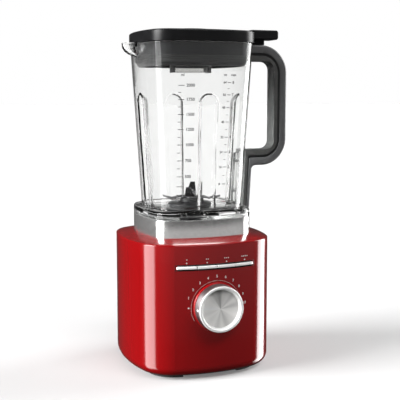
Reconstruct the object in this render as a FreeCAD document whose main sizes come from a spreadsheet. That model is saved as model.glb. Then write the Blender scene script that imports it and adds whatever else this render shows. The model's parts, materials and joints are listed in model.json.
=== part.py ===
import FreeCAD, Part
import math
import os
import Sketcher

# Countertop blender. Millimetres. +Z is up, the front (dial and buttons) faces -Y,
# the handle is on +X and the spout on -X. The origin is on the resting plane, at the motor axis.

doc = FreeCAD.newDocument("CountertopBlender")
sheet = doc.addObject("Spreadsheet::Sheet", "Sizes")

SIZES = [
    # motor base
    ("base_half_width", 99.5, "outside of the side walls"),
    ("base_half_depth", 100.0, "outside of the front and rear walls"),
    ("base_corner", 55.8, "plan corner radius"),
    ("base_bow", 215.0, "plan radius of the four bowed sides"),
    ("base_bottom", 5.2, "underside of the housing above the table"),
    ("base_turn_in", 14.0, "rounding between wall and underside"),
    ("base_shoulder", 181.0, "top of the vertical wall"),
    ("base_edge_round", 1.5, "small rounding at the shoulder"),
    ("base_wall", 3.0, "housing wall thickness"),
    ("base_top_wall", 4.0, "thickness of the crowned top"),
    ("step_level", 14.2, "where the inside steps in above the rounding"),
    ("step_inset", 9.5, "inset of that step"),
    ("lip_inset", 17.0, "inset of the opening for the base plate"),
    ("lip_height", 3.0, "thickness of the turned-in lip"),
    ("shaft_opening", 34.0, "radius of the opening under the collar"),
    ("foot_height", 5.2, "rubber foot below the base plate"),
    ("foot_outer", 36.5, "outer radius of a foot about its corner centre"),
    ("foot_inner", 21.0, "inner radius of a foot about its corner centre"),
    ("plate_thickness", 3.5, "base plate"),
    ("plate_gap", 0.2, "gap between base plate and housing lip"),
    ("vent_length", 60.0, "air slot in the base plate"),
    ("vent_width", 4.0, "air slot in the base plate"),
    ("vent_pitch", 9.0, "spacing of the air slots"),
    ("post_radius", 5.0, "screw post"),
    ("post_reach", 52.0, "screw post distance from the axis along X and Y"),
    # jar collar
    ("collar_half_width", 74.1, "outside of collar and jar foot"),
    ("collar_half_depth", 73.5, "outside of collar and jar foot"),
    ("collar_corner", 27.8, "plan corner radius"),
    ("collar_bow", 202.0, "plan radius of the sides"),
    ("collar_bottom", 185.9, "where the collar meets the crowned top"),
    ("collar_top", 208.8, "rim that carries the jar"),
    ("collar_wall", 4.0, "collar wall thickness"),
    ("collar_floor", 3.0, "floor of the collar well"),
    ("collar_opening", 20.0, "radius of the opening for the drive coupling"),
    ("pad_thickness", 1.5, "rubber ring lying in the well"),
    # controls
    ("button_level", 151.5, "centre height of the button bar"),
    ("button_height", 4.5, "height of the button bar"),
    ("button_bar_half", 54.0, "half length of the button bar"),
    ("button_pitch", 27.0, "spacing of the four buttons"),
    ("button_gap", 0.35, "gap round each button"),
    ("button_proud", 1.6, "how far the buttons stand out of the wall"),
    ("button_depth", 5.0, "depth of a button cap behind the wall surface"),
    ("button_stem", 1.6, "radius of the stem behind a button"),
    ("bezel_margin", 1.6, "dark border round the button bar"),
    ("bezel_proud", 0.3, "how far the bezel stands out of the wall"),
    ("lamp_level", 157.5, "height of the indicator lamps"),
    ("lamp_radius", 0.9, "light pipe"),
    ("dial_level", 98.0, "height of the knob axis"),
    ("halo_radius", 32.3, "ring behind the knob"),
    ("halo_front", 101.0, "front face of the halo ring, distance from the motor axis"),
    ("halo_back", 98.6, "back face of the halo ring"),
    ("knob_radius", 30.5, "knob at its front ring"),
    ("knob_skirt_radius", 31.3, "knob at its back edge"),
    ("knob_back", 102.3, "back edge of the knob"),
    ("knob_front", 117.5, "front edge of the knob"),
    ("knob_face_radius", 24.9, "recessed disc"),
    ("knob_recess", 111.5, "seat of the recessed disc"),
    ("knob_face_thickness", 1.2, "recessed disc"),
    ("board_front", 80.0, "front face of the control board"),
    ("board_thickness", 1.6, "circuit boards"),
    ("encoder_shaft_radius", 3.0, "shaft of the speed encoder"),
    ("encoder_bore", 3.06, "bore of the encoder bushing"),
    # motor
    ("motor_shaft_radius", 5.0, "motor shaft"),
    ("motor_bore", 5.05, "bore of the motor bearings, a running fit"),
    ("stator_radius", 46.0, "outside of the stator"),
    ("stator_bore", 27.5, "bore of the stator"),
    ("stator_bottom", 75.0, "lower end of the stator"),
    ("stator_height", 55.0, "length of the stator stack"),
    ("coil_inner", 29.5, "inner radius of the field coils"),
    ("coil_outer", 40.5, "outer radius of the field coils"),
    ("coil_overhang", 8.5, "coil end beyond the stack"),
    ("rotor_radius", 26.8, "armature core"),
    ("rotor_slots", 12.0, "number of armature slots"),
    ("slot_width", 4.5, "armature slot"),
    ("slot_depth", 10.0, "armature slot"),
    ("commutator_radius", 14.0, "commutator"),
    ("bearing_outer", 13.0, "outside of the motor bearings"),
    ("bearing_height", 9.0, "motor bearings"),
    ("bolt_radius", 1.8, "motor bolts"),
    ("bolt_circle", 42.5, "motor bolts, distance from the axis"),
    ("bolt_angle", 20.0, "motor bolts, degrees from the X axis"),
    ("mount_reach", 37.0, "rubber mounts, distance from the axis along X and Y"),
    # coupling
    ("coupling_core", 8.5, "root radius of the coupling star"),
    ("coupling_tip", 11.5, "tip radius of the coupling star"),
    ("coupling_tooth", 4.8, "width of a star slot"),
    ("coupling_outer", 16.5, "outside of the driving cup"),
    ("coupling_play", 0.5, "play between driving cup and driven star"),
    ("coupling_teeth", 6.0, "number of teeth"),
    # jar
    ("jar_seat", 209.1, "underside of the jar foot"),
    ("jar_foot_top", 221.0, "top of the jar foot"),
    ("jar_foot_round", 4.0, "rounding of the foot's upper edge"),
    ("jar_recess", 214.0, "underside of the jar floor"),
    ("jar_floor", 220.0, "inside floor"),
    ("jar_rim", 441.7, "top of the jar"),
    ("jar_low_half", 63.6, "outside half width at the foot"),
    ("jar_high_half", 77.8, "outside half width at the rim"),
    ("jar_corner", 30.0, "plan corner radius"),
    ("jar_bow", 181.0, "plan radius of the sides"),
    ("jar_wall", 3.2, "wall thickness"),
    ("flute_low_radius", 9.9, "flute at the foot"),
    ("flute_high_radius", 12.5, "flute at its upper end"),
    ("flute_low_out", 1.9, "flute centre outside the wall, at the foot"),
    ("flute_high_out", 3.5, "flute centre outside the wall, at its upper end"),
    ("flute_top", 361.0, "where the rounded end of a flute starts"),
    ("spout_reach", 97.0, "tip of the spout"),
    ("jar_hole", 16.5, "hole in the jar floor"),
    # blades
    ("blade_shaft_radius", 4.0, "blade shaft"),
    ("blade_bore", 4.05, "bore of the blade bearings, a running fit"),
    ("blade_bearing_outer", 9.0, "outside of the blade bearings"),
    ("blade_thickness", 1.8, "blade steel"),
    ("blade_width", 15.0, "widest part of a blade"),
    # handle
    ("handle_half_width", 11.5, "half of the handle's width along Y"),
    ("handle_outer", 142.0, "outside of the grip"),
    ("handle_inner", 122.0, "inside of the grip"),
    ("handle_split", 131.0, "where the outer shell meets the inner grip"),
    ("handle_top", 442.0, "top of the handle"),
    ("handle_bar_low", 274.0, "underside of the lower bar"),
    ("handle_round", 3.0, "edge rounding of the grip"),
    ("handle_screw_radius", 2.0, "handle screws"),
    # lid
    ("lid_half", 78.0, "outside of the lid rim"),
    ("lid_corner", 30.0, "plan corner radius of the lid"),
    ("lid_bow", 220.0, "plan radius of the lid's sides"),
    ("lid_under", 442.1, "underside of the lid rim"),
    ("lid_top", 457.0, "top of the lid rim"),
    ("skirt_bottom", 411.0, "lower end of the skirt"),
    ("skirt_gap", 3.6, "gap between skirt and the inside of the jar"),
    ("skirt_end_gap", 6.5, "the same gap at the bevelled lower end"),
    ("skirt_wall", 3.0, "skirt wall thickness"),
    ("tab_end", 127.0, "end of the tab"),
    ("tab_top", 462.6, "top of the tab"),
    ("tab_under", 449.5, "underside of the tab"),
    ("tab_half", 14.0, "half width of the tab"),
    ("cap_collar", 28.5, "outside of the collar round the cap"),
    ("cap_opening", 26.1, "opening for the cap"),
    ("cap_collar_bottom", 403.0, "lower end of that collar"),
    ("cap_window", 26.0, "half width of the two windows in that collar"),
    ("cap_radius", 31.0, "outside of the cap"),
    ("cup_radius", 25.6, "outside of the dosing cup"),
    ("cup_wall", 2.2, "wall of the dosing cup"),
    ("cup_bottom", 403.6, "mouth of the dosing cup"),
    ("cap_top", 461.0, "top of the cap"),
]

for row, (alias, value, note) in enumerate(SIZES, start=1):
    sheet.set("A%d" % row, alias)
    sheet.set("B%d" % row, str(value))
    sheet.set("C%d" % row, note)
    sheet.setAlias("B%d" % row, alias)
doc.recompute()


def size(alias):
    return float(sheet.get(alias))


NODES = []


def node(obj, label):
    obj.Label = label
    NODES.append(obj)
    return obj


# ---------------------------------------------------------------- sketch helpers


def new_body(name):
    return doc.addObject("PartDesign::Body", name)


def new_sketch(body, name, role, offset="0"):
    plane = [item for item in body.Origin.OriginFeatures if item.Role == role][0]
    sketch = body.newObject("Sketcher::SketchObject", name)
    sketch.AttachmentSupport = [(plane, "")]
    sketch.MapMode = "FlatFace"
    sketch.setExpression("AttachmentOffset.Base.z", offset)
    return sketch


def add_polygon(sketch, points):
    for start, end in zip(points, points[1:] + points[:1]):
        a = FreeCAD.Vector(start[0], start[1], 0)
        b = FreeCAD.Vector(end[0], end[1], 0)
        sketch.addGeometry(Part.LineSegment(a, b))


def add_circle(sketch, across, up, radius_alias):
    circle = Part.Circle(FreeCAD.Vector(across, up, 0), FreeCAD.Vector(0, 0, 1), size(radius_alias))
    index = sketch.addGeometry(circle)
    rule = sketch.addConstraint(Sketcher.Constraint("Radius", index, size(radius_alias)))
    sketch.setExpression("Constraints[%d]" % rule, "Sizes." + radius_alias)


def bowed_outline(half_width, half_depth, corner, bow):
    """Eight tangent arcs: four bowed sides and four rounded corners."""
    a = bow - half_depth
    b = bow - half_width
    reach = bow - corner
    p = half_width - corner
    q = half_depth - corner
    for _ in range(60):
        first = p * p + (q + a) ** 2 - reach ** 2
        second = (p + b) ** 2 + q * q - reach ** 2
        j11, j12, j21, j22 = 2 * p, 2 * (q + a), 2 * (p + b), 2 * q
        det = j11 * j22 - j12 * j21
        p -= (first * j22 - second * j12) / det
        q -= (second * j11 - first * j21) / det
    side = math.atan2(q, p + b)
    back = math.atan2(p, q + a)
    quarter = math.pi / 2
    arcs = [((-b, 0), bow, -side, side), ((0, -a), bow, quarter - back, quarter + back)]
    arcs += [((b, 0), bow, math.pi - side, math.pi + side)]
    arcs += [((0, a), bow, 3 * quarter - back, 3 * quarter + back)]
    arcs += [((p, q), corner, side, quarter - back), ((-p, q), corner, quarter + back, math.pi - side)]
    arcs += [((-p, -q), corner, math.pi + side, 3 * quarter - back)]
    arcs += [((p, -q), corner, 3 * quarter + back, 4 * quarter - side)]
    edges = []
    for centre, radius, start, end in [arcs[k] for k in (0, 4, 1, 5, 2, 6, 3, 7)]:
        circle = Part.Circle(FreeCAD.Vector(centre[0], centre[1], 0), FreeCAD.Vector(0, 0, 1), radius)
        edges.append(Part.ArcOfCircle(circle, start, end))
    return edges


def base_outline(inset):
    return bowed_outline(size("base_half_width") - inset, size("base_half_depth") - inset,
                         size("base_corner") - inset, size("base_bow") - inset)


def collar_outline(inset):
    return bowed_outline(size("collar_half_width") - inset, size("collar_half_depth") - inset,
                         size("collar_corner") - inset, size("collar_bow") - inset)


def jar_half(level):
    """Outside half width of the jar at a height."""
    low, high = size("jar_low_half"), size("jar_high_half")
    share = (level - size("jar_foot_top")) / (size("jar_rim") - size("jar_foot_top"))
    return low + share * (high - low)


def jar_outline(level, inset):
    half = jar_half(level) - inset
    return bowed_outline(half, half, size("jar_corner") - inset, size("jar_bow") - inset)


def lid_outline(half, inset=0.0):
    return bowed_outline(half, half, size("lid_corner") - inset, size("lid_bow") - inset)


# ---------------------------------------------------------------- feature helpers


def pad(body, name, sketch, length, reverse=False, midplane=False):
    feature = body.newObject("PartDesign::Pad", name)
    feature.Profile = sketch
    feature.setExpression("Length", length)
    feature.Reversed = reverse
    feature.Midplane = midplane
    sketch.Visibility = False
    doc.recompute()
    return feature


def pocket(body, name, sketch, length, reverse=False):
    """Cut into the body; the volume has to go down."""
    before = body.Shape.Volume
    feature = body.newObject("PartDesign::Pocket", name)
    feature.Profile = sketch
    feature.setExpression("Length", length)
    feature.Reversed = reverse
    sketch.Visibility = False
    doc.recompute()
    if feature.Shape.Volume >= before - 1e-6:
        raise ValueError(name + " removed nothing")
    return feature


def revolve(body, name, sketch):
    feature = body.newObject("PartDesign::Revolution", name)
    feature.Profile = sketch
    feature.ReferenceAxis = (sketch, ["V_Axis"])
    feature.Angle = 360
    sketch.Visibility = False
    doc.recompute()
    return feature


def polar(body, name, feature, sketch, count):
    pattern = body.newObject("PartDesign::PolarPattern", name)
    pattern.Originals = [feature]
    pattern.Axis = (sketch, ["N_Axis"])
    pattern.Angle = 360
    pattern.Occurrences = count
    body.Tip = pattern
    doc.recompute()
    return pattern


def turned(label, points, role="XZ_Plane", offset="0"):
    """A round part from half of its section, turned about the sketch's upright axis."""
    body = new_body(label)
    sketch = new_sketch(body, label + "_section", role, offset)
    add_polygon(sketch, points)
    revolve(body, label + "_turn", sketch)
    return node(body, label)


def dress(body, kind, name, edges, prop, expression):
    """Round or bevel edges of the body's latest feature."""
    base = body.Tip
    feature = body.newObject("PartDesign::" + kind, name)
    feature.Base = (base, edges)
    feature.setExpression(prop, expression)
    doc.recompute()
    return feature


def level_edges(shape, level, min_length=0.0):
    names = []
    for index, edge in enumerate(shape.Edges, start=1):
        box = edge.BoundBox
        if abs(box.ZMin - level) < 0.01 and abs(box.ZMax - level) < 0.01 and edge.Length > min_length:
            names.append("Edge%d" % index)
    return names


def cylinder(name, radius, height, x, y, z, axis="Z"):
    """A bound cylinder; radius and height are spreadsheet expressions."""
    item = doc.addObject("Part::Cylinder", name)
    item.setExpression("Radius", radius)
    item.setExpression("Height", height)
    turn = {"Z": FreeCAD.Rotation(), "X": FreeCAD.Rotation(FreeCAD.Vector(0, 1, 0), 90),
            "Y": FreeCAD.Rotation(FreeCAD.Vector(1, 0, 0), -90)}[axis]
    item.Placement = FreeCAD.Placement(FreeCAD.Vector(x, y, z), turn)
    item.Visibility = False
    return item


def block(name, low, high):
    """A box between two corners."""
    item = doc.addObject("Part::Box", name)
    item.Length = high[0] - low[0]
    item.Width = high[1] - low[1]
    item.Height = high[2] - low[2]
    item.Placement = FreeCAD.Placement(FreeCAD.Vector(*low), FreeCAD.Rotation())
    item.Visibility = False
    return item


def fuse(name, items):
    item = doc.addObject("Part::MultiFuse", name)
    item.Shapes = items
    return item


def cut(name, base, tool):
    item = doc.addObject("Part::Cut", name)
    item.Base = base
    item.Tool = tool
    return item


def group(name, items):
    """Separate solids that share one node, such as identical fasteners."""
    item = doc.addObject("Part::Compound", name)
    item.Links = items
    return item


def flat_section(name, edges, level):
    """A free sketch lying flat at a height, for lofts."""
    sketch = doc.addObject("Sketcher::SketchObject", name)
    sketch.addGeometry(edges)
    sketch.Placement = FreeCAD.Placement(FreeCAD.Vector(0, 0, level), FreeCAD.Rotation())
    sketch.Visibility = False
    return sketch


def loft(name, sections):
    item = doc.addObject("Part::Loft", name)
    item.Sections = sections
    item.Solid = True
    item.Ruled = True
    item.Visibility = False
    return item


def corners(reach):
    return [(sx * reach, sy * reach) for sx in (1, -1) for sy in (1, -1)]


def button_places():
    pitch = size("button_pitch")
    return [-1.5 * pitch, -0.5 * pitch, 0.5 * pitch, 1.5 * pitch]


def bowed_strip(half_low, half_high, proud, depth):
    """Plan profile of a piece that follows the bowed front wall."""
    radius = size("base_bow") + proud
    centre = size("base_bow") - size("base_half_depth")
    front_low = centre - math.sqrt(radius ** 2 - half_low ** 2)
    front_high = centre - math.sqrt(radius ** 2 - half_high ** 2)
    back = -size("base_half_depth") + depth
    start = math.atan2(front_low - centre, half_low)
    end = math.atan2(front_high - centre, half_high)
    circle = Part.Circle(FreeCAD.Vector(0, centre, 0), FreeCAD.Vector(0, 0, 1), radius)
    arc = Part.ArcOfCircle(circle, start, end)
    low_front = FreeCAD.Vector(half_low, front_low, 0)
    high_front = FreeCAD.Vector(half_high, front_high, 0)
    low_back = FreeCAD.Vector(half_low, back, 0)
    high_back = FreeCAD.Vector(half_high, back, 0)
    lines = [Part.LineSegment(high_front, high_back), Part.LineSegment(high_back, low_back)]
    return [arc] + lines + [Part.LineSegment(low_back, low_front)]


# ---------------------------------------------------------------- motor base


def make_housing():
    body = new_body("base_housing")
    outline = new_sketch(body, "housing_outline", "XY_Plane", "Sizes.base_bottom")
    outline.addGeometry(base_outline(0))
    pad(body, "housing_wall", outline, "Sizes.base_shoulder - Sizes.base_bottom")
    dress(body, "Fillet", "housing_turn_in", level_edges(body.Shape, size("base_bottom")),
          "Radius", "Sizes.base_turn_in")
    lower = new_sketch(body, "crown_low", "XY_Plane", "Sizes.base_shoulder")
    lower.addGeometry(base_outline(0))
    upper = new_sketch(body, "crown_high", "XY_Plane", "Sizes.collar_bottom")
    upper.addGeometry(collar_outline(0))
    crown = body.newObject("PartDesign::AdditiveLoft", "housing_crown")
    crown.Profile = lower
    crown.Sections = [upper]
    crown.Ruled = True
    doc.recompute()
    dress(body, "Fillet", "housing_shoulder", level_edges(crown.Shape, size("base_shoulder")),
          "Radius", "Sizes.base_edge_round")
    cavity = new_sketch(body, "cavity_outline", "XY_Plane", "Sizes.base_shoulder - Sizes.base_top_wall")
    cavity.addGeometry(base_outline(size("base_wall")))
    pocket(body, "housing_cavity", cavity, "Sizes.base_shoulder - Sizes.base_top_wall - Sizes.step_level")
    step = new_sketch(body, "step_outline", "XY_Plane", "Sizes.step_level + 1")
    step.addGeometry(base_outline(size("step_inset")))
    pocket(body, "housing_step", step, "Sizes.step_level + 1 - Sizes.base_bottom - Sizes.lip_height")
    mouth = new_sketch(body, "mouth_outline", "XY_Plane", "Sizes.base_bottom + Sizes.lip_height + 1")
    mouth.addGeometry(base_outline(size("lip_inset")))
    pocket(body, "housing_mouth", mouth, "Sizes.lip_height + 3")
    shaft_hole = new_sketch(body, "shaft_hole", "XY_Plane", "Sizes.collar_bottom + 1")
    add_circle(shaft_hole, 0, 0, "shaft_opening")
    pocket(body, "housing_shaft_opening", shaft_hole, "20")
    add_housing_posts(body)
    add_housing_openings(body)
    return node(body, "base_housing")


def add_housing_posts(body):
    ceiling = size("base_shoulder") - size("base_top_wall")
    posts = new_sketch(body, "plate_posts", "XY_Plane", "Sizes.base_bottom + Sizes.plate_thickness + 0.3")
    for x, y in corners(size("post_reach")):
        add_circle(posts, x, y, "post_radius")
    pad(body, "housing_plate_posts", posts, "30")
    ribs = new_sketch(body, "post_ribs", "XY_Plane", "Sizes.base_bottom + Sizes.plate_thickness + 6")
    reach, far, half = size("post_reach") + 2, 77.0, 1.3
    for sx, sy in ((1, 1), (1, -1), (-1, 1), (-1, -1)):
        near_a = (sx * (reach - half), sy * (reach + half))
        near_b = (sx * (reach + half), sy * (reach - half))
        far_a = (sx * (far - half), sy * (far + half))
        far_b = (sx * (far + half), sy * (far - half))
        add_polygon(ribs, [near_a, near_b, far_b, far_a])
    pad(body, "housing_post_ribs", ribs, "24")
    hangers = new_sketch(body, "mount_posts", "XY_Plane", "168")
    for x, y in corners(size("mount_reach")):
        add_circle(hangers, x, y, "post_radius")
    pad(body, "housing_mount_posts", hangers, "%f" % (ceiling - 168 + 1))
    board_posts = new_sketch(body, "board_posts", "XZ_Plane", "Sizes.board_front")
    for x in (-52, 52):
        for z in (80, 160):
            add_circle(board_posts, x, z, "post_radius")
    pad(body, "housing_board_posts", board_posts, "12")


def add_housing_openings(body):
    seat = new_sketch(body, "halo_seat", "XZ_Plane", "Sizes.halo_back")
    seat.addGeometry(Part.Circle(FreeCAD.Vector(0, size("dial_level"), 0), FreeCAD.Vector(0, 0, 1),
                                 size("halo_radius") + 0.1))
    pocket(body, "housing_halo_seat", seat, "5", reverse=True)
    bushing = new_sketch(body, "bushing_hole", "XZ_Plane", "Sizes.halo_front")
    bushing.addGeometry(Part.Circle(FreeCAD.Vector(0, size("dial_level"), 0), FreeCAD.Vector(0, 0, 1), 5.2))
    pocket(body, "housing_bushing_hole", bushing, "10")
    slot = new_sketch(body, "bezel_slot", "XZ_Plane", "Sizes.halo_front")
    half = size("button_bar_half") + size("bezel_margin") + 0.1
    tall = size("button_height") / 2 + size("bezel_margin") + 0.1
    level = size("button_level")
    add_polygon(slot, [(-half, level - tall), (half, level - tall), (half, level + tall), (-half, level + tall)])
    pocket(body, "housing_bezel_slot", slot, "13")
    lamps = new_sketch(body, "lamp_holes", "XZ_Plane", "Sizes.halo_front + 1")
    for x in button_places():
        lamps.addGeometry(Part.Circle(FreeCAD.Vector(x, size("lamp_level"), 0), FreeCAD.Vector(0, 0, 1),
                                      size("lamp_radius") + 0.1))
    pocket(body, "housing_lamp_holes", lamps, "14")
    gland = new_sketch(body, "gland_hole", "XZ_Plane", "-Sizes.base_half_depth - 1")
    gland.addGeometry(Part.Circle(FreeCAD.Vector(0, 34, 0), FreeCAD.Vector(0, 0, 1), 7.1))
    pocket(body, "housing_gland_hole", gland, "8", reverse=True)
    screws = new_sketch(body, "collar_screw_holes", "XY_Plane", "Sizes.collar_bottom + 1")
    for x, y in corners(46.0):
        screws.addGeometry(Part.Circle(FreeCAD.Vector(x, y, 0), FreeCAD.Vector(0, 0, 1), 2.1))
    pocket(body, "housing_collar_screw_holes", screws, "10")
    plate_screws = new_sketch(body, "plate_screw_holes", "XY_Plane", "8")
    for x, y in corners(size("post_reach")):
        plate_screws.addGeometry(Part.Circle(FreeCAD.Vector(x, y, 0), FreeCAD.Vector(0, 0, 1), 1.6))
    pocket(body, "housing_plate_screw_holes", plate_screws, "18", reverse=True)


def make_base_plate():
    body = new_body("base_plate")
    outline = new_sketch(body, "plate_outline", "XY_Plane", "Sizes.base_bottom")
    outline.addGeometry(base_outline(size("lip_inset") + size("plate_gap")))
    pad(body, "plate_slab", outline, "Sizes.plate_thickness")
    slot = new_sketch(body, "vent_slot", "XY_Plane", "Sizes.base_bottom + Sizes.plate_thickness + 1")
    half_length, half_width = size("vent_length") / 2, size("vent_width") / 2
    start = -3 * size("vent_pitch")
    add_polygon(slot, [(-half_length, start - half_width), (half_length, start - half_width),
                       (half_length, start + half_width), (-half_length, start + half_width)])
    first = pocket(body, "plate_vent", slot, "Sizes.plate_thickness + 2")
    row = body.newObject("PartDesign::LinearPattern", "plate_vents")
    row.Originals = [first]
    row.Direction = (slot, ["V_Axis"])
    row.Occurrences = 7
    row.Length = 6 * size("vent_pitch")
    body.Tip = row
    doc.recompute()
    holes = new_sketch(body, "plate_holes", "XY_Plane", "Sizes.base_bottom + Sizes.plate_thickness + 1")
    for x, y in corners(size("post_reach")):
        holes.addGeometry(Part.Circle(FreeCAD.Vector(x, y, 0), FreeCAD.Vector(0, 0, 1), 2.1))
    pocket(body, "plate_screw_holes", holes, "Sizes.plate_thickness + 2")
    return node(body, "base_plate")


def screw(name, shank_radius, length, head_radius, head_height, x, y, z, direction):
    """A pan-head screw; z is the seat of the head and direction +1 points the shank up."""
    shank = cylinder(name + "_shank", "%f" % shank_radius, "%f" % length, x, y, z)
    head = cylinder(name + "_head", "%f" % head_radius, "%f" % head_height, x, y, z - head_height)
    if direction < 0:
        shank.Placement.Base = FreeCAD.Vector(x, y, z - length)
        head.Placement.Base = FreeCAD.Vector(x, y, z)
    return fuse(name, [shank, head])


def make_feet():
    """Four arc-shaped pads that follow the corners of the base plate."""
    centre_x = 38.9
    names = {(1, 1): "foot_rear_right", (1, -1): "foot_front_right",
             (-1, 1): "foot_rear_left", (-1, -1): "foot_front_left"}
    feet = []
    for (sx, sy), label in names.items():
        body = new_body(label)
        outline = new_sketch(body, label + "_outline", "XY_Plane")
        middle = math.atan2(sy, sx)
        start, end = middle - math.radians(46), middle + math.radians(46)
        centre = FreeCAD.Vector(sx * centre_x, sy * centre_x, 0)
        up = FreeCAD.Vector(0, 0, 1)
        outer = Part.ArcOfCircle(Part.Circle(centre, up, size("foot_outer")), start, end)
        inner = Part.ArcOfCircle(Part.Circle(centre, up, size("foot_inner")), start, end)
        outline.addGeometry([outer, inner, Part.LineSegment(outer.EndPoint, inner.EndPoint),
                             Part.LineSegment(outer.StartPoint, inner.StartPoint)])
        pad(body, label + "_pad", outline, "Sizes.foot_height")
        hole = new_sketch(body, label + "_hole", "XY_Plane", "-1")
        hole.addGeometry(Part.Circle(FreeCAD.Vector(sx * size("post_reach"), sy * size("post_reach"), 0), up, 4.4))
        pocket(body, label + "_screw_clearance", hole, "Sizes.foot_height + 2", reverse=True)
        feet.append(body)
    node(group("rubber_feet", feet), "rubber_feet")


def make_collar():
    body = new_body("jar_collar")
    outline = new_sketch(body, "collar_outline", "XY_Plane", "Sizes.collar_bottom")
    outline.addGeometry(collar_outline(0))
    pad(body, "collar_wall_pad", outline, "Sizes.collar_top - Sizes.collar_bottom")
    well = new_sketch(body, "collar_well", "XY_Plane", "Sizes.collar_top + 1")
    well.addGeometry(collar_outline(size("collar_wall")))
    pocket(body, "collar_well_cut", well,
           "Sizes.collar_top + 1 - Sizes.collar_bottom - Sizes.collar_floor")
    hole = new_sketch(body, "collar_hole", "XY_Plane", "Sizes.collar_top + 1")
    add_circle(hole, 0, 0, "collar_opening")
    pocket(body, "collar_opening_cut", hole, "30")
    screws = new_sketch(body, "collar_screws_cut", "XY_Plane", "Sizes.collar_top + 1")
    for x, y in corners(46.0):
        screws.addGeometry(Part.Circle(FreeCAD.Vector(x, y, 0), FreeCAD.Vector(0, 0, 1), 2.1))
    pocket(body, "collar_screw_cut", screws, "30")
    dress(body, "Chamfer", "collar_rim_bevel", level_edges(body.Shape, size("collar_top")), "Size", "0.5")
    return node(body, "jar_collar")


def make_jar_pad():
    body = new_body("jar_pad")
    ring = new_sketch(body, "pad_ring", "XY_Plane", "Sizes.collar_bottom + Sizes.collar_floor")
    ring.addGeometry(collar_outline(size("collar_wall") + 1))
    ring.addGeometry(Part.Circle(FreeCAD.Vector(), FreeCAD.Vector(0, 0, 1), size("collar_opening") + 6))
    for x, y in corners(46.0):
        ring.addGeometry(Part.Circle(FreeCAD.Vector(x, y, 0), FreeCAD.Vector(0, 0, 1), 4.6))
    pad(body, "pad_sheet", ring, "Sizes.pad_thickness")
    return node(body, "jar_pad")


# ---------------------------------------------------------------- controls


def make_bezel():
    body = new_body("button_bezel")
    half = size("button_bar_half") + size("bezel_margin")
    plan = new_sketch(body, "bezel_plan", "XY_Plane", "Sizes.button_level")
    plan.addGeometry(bowed_strip(-half, half, size("bezel_proud"), 11.0))
    pad(body, "bezel_bar", plan, "Sizes.button_height + 2 * Sizes.bezel_margin", midplane=True)
    windows = new_sketch(body, "bezel_windows", "XZ_Plane", "Sizes.halo_front + 2")
    level, tall = size("button_level"), size("button_height") / 2
    wide = size("button_bar_half")
    add_polygon(windows, [(-wide, level - tall), (wide, level - tall), (wide, level + tall), (-wide, level + tall)])
    pocket(body, "bezel_window_cut", windows, "30")
    return node(body, "button_bezel")


def make_button(index, x):
    label = "button_%d" % (index + 1)
    gap = size("button_gap")
    half = size("button_pitch") / 2 - gap / 2
    low, high = x - half, x + half
    if index == 0:
        low = -size("button_bar_half") + gap
    if index == 3:
        high = size("button_bar_half") - gap
    body = new_body(label)
    plan = new_sketch(body, label + "_plan", "XY_Plane", "Sizes.button_level")
    plan.addGeometry(bowed_strip(low, high, size("button_proud"), size("button_depth") + 4.0))
    pad(body, label + "_cap", plan, "Sizes.button_height - 2 * Sizes.button_gap", midplane=True)
    ends = []
    for number, edge in enumerate(body.Shape.Edges, start=1):
        box = edge.BoundBox
        along_y = box.YLength > 3 and box.XLength < 0.01 and box.ZLength < 0.01
        outer_end = (index == 0 and abs(box.XMin - low) < 0.01) or (index == 3 and abs(box.XMax - high) < 0.01)
        if along_y and outer_end:
            ends.append("Edge%d" % number)
    if ends:
        dress(body, "Fillet", label + "_end", ends, "Radius", "1.8")
    stem = new_sketch(body, label + "_stem", "XZ_Plane", "Sizes.board_front + 5.7")
    add_circle(stem, x, size("button_level"), "button_stem")
    pad(body, label + "_stem_pad", stem, "8")
    return node(body, label)


def make_lamps():
    lamps = []
    for index, x in enumerate(button_places()):
        face = size("base_bow") - size("base_half_depth") - math.sqrt(size("base_bow") ** 2 - x ** 2)
        lamp = cylinder("lamp_%d" % (index + 1), "Sizes.lamp_radius", "%f" % (-size("board_front") - face),
                        x, face, size("lamp_level"), "Y")
        lamps.append(lamp)
    return node(group("indicator_lamps", lamps), "indicator_lamps")


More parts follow.
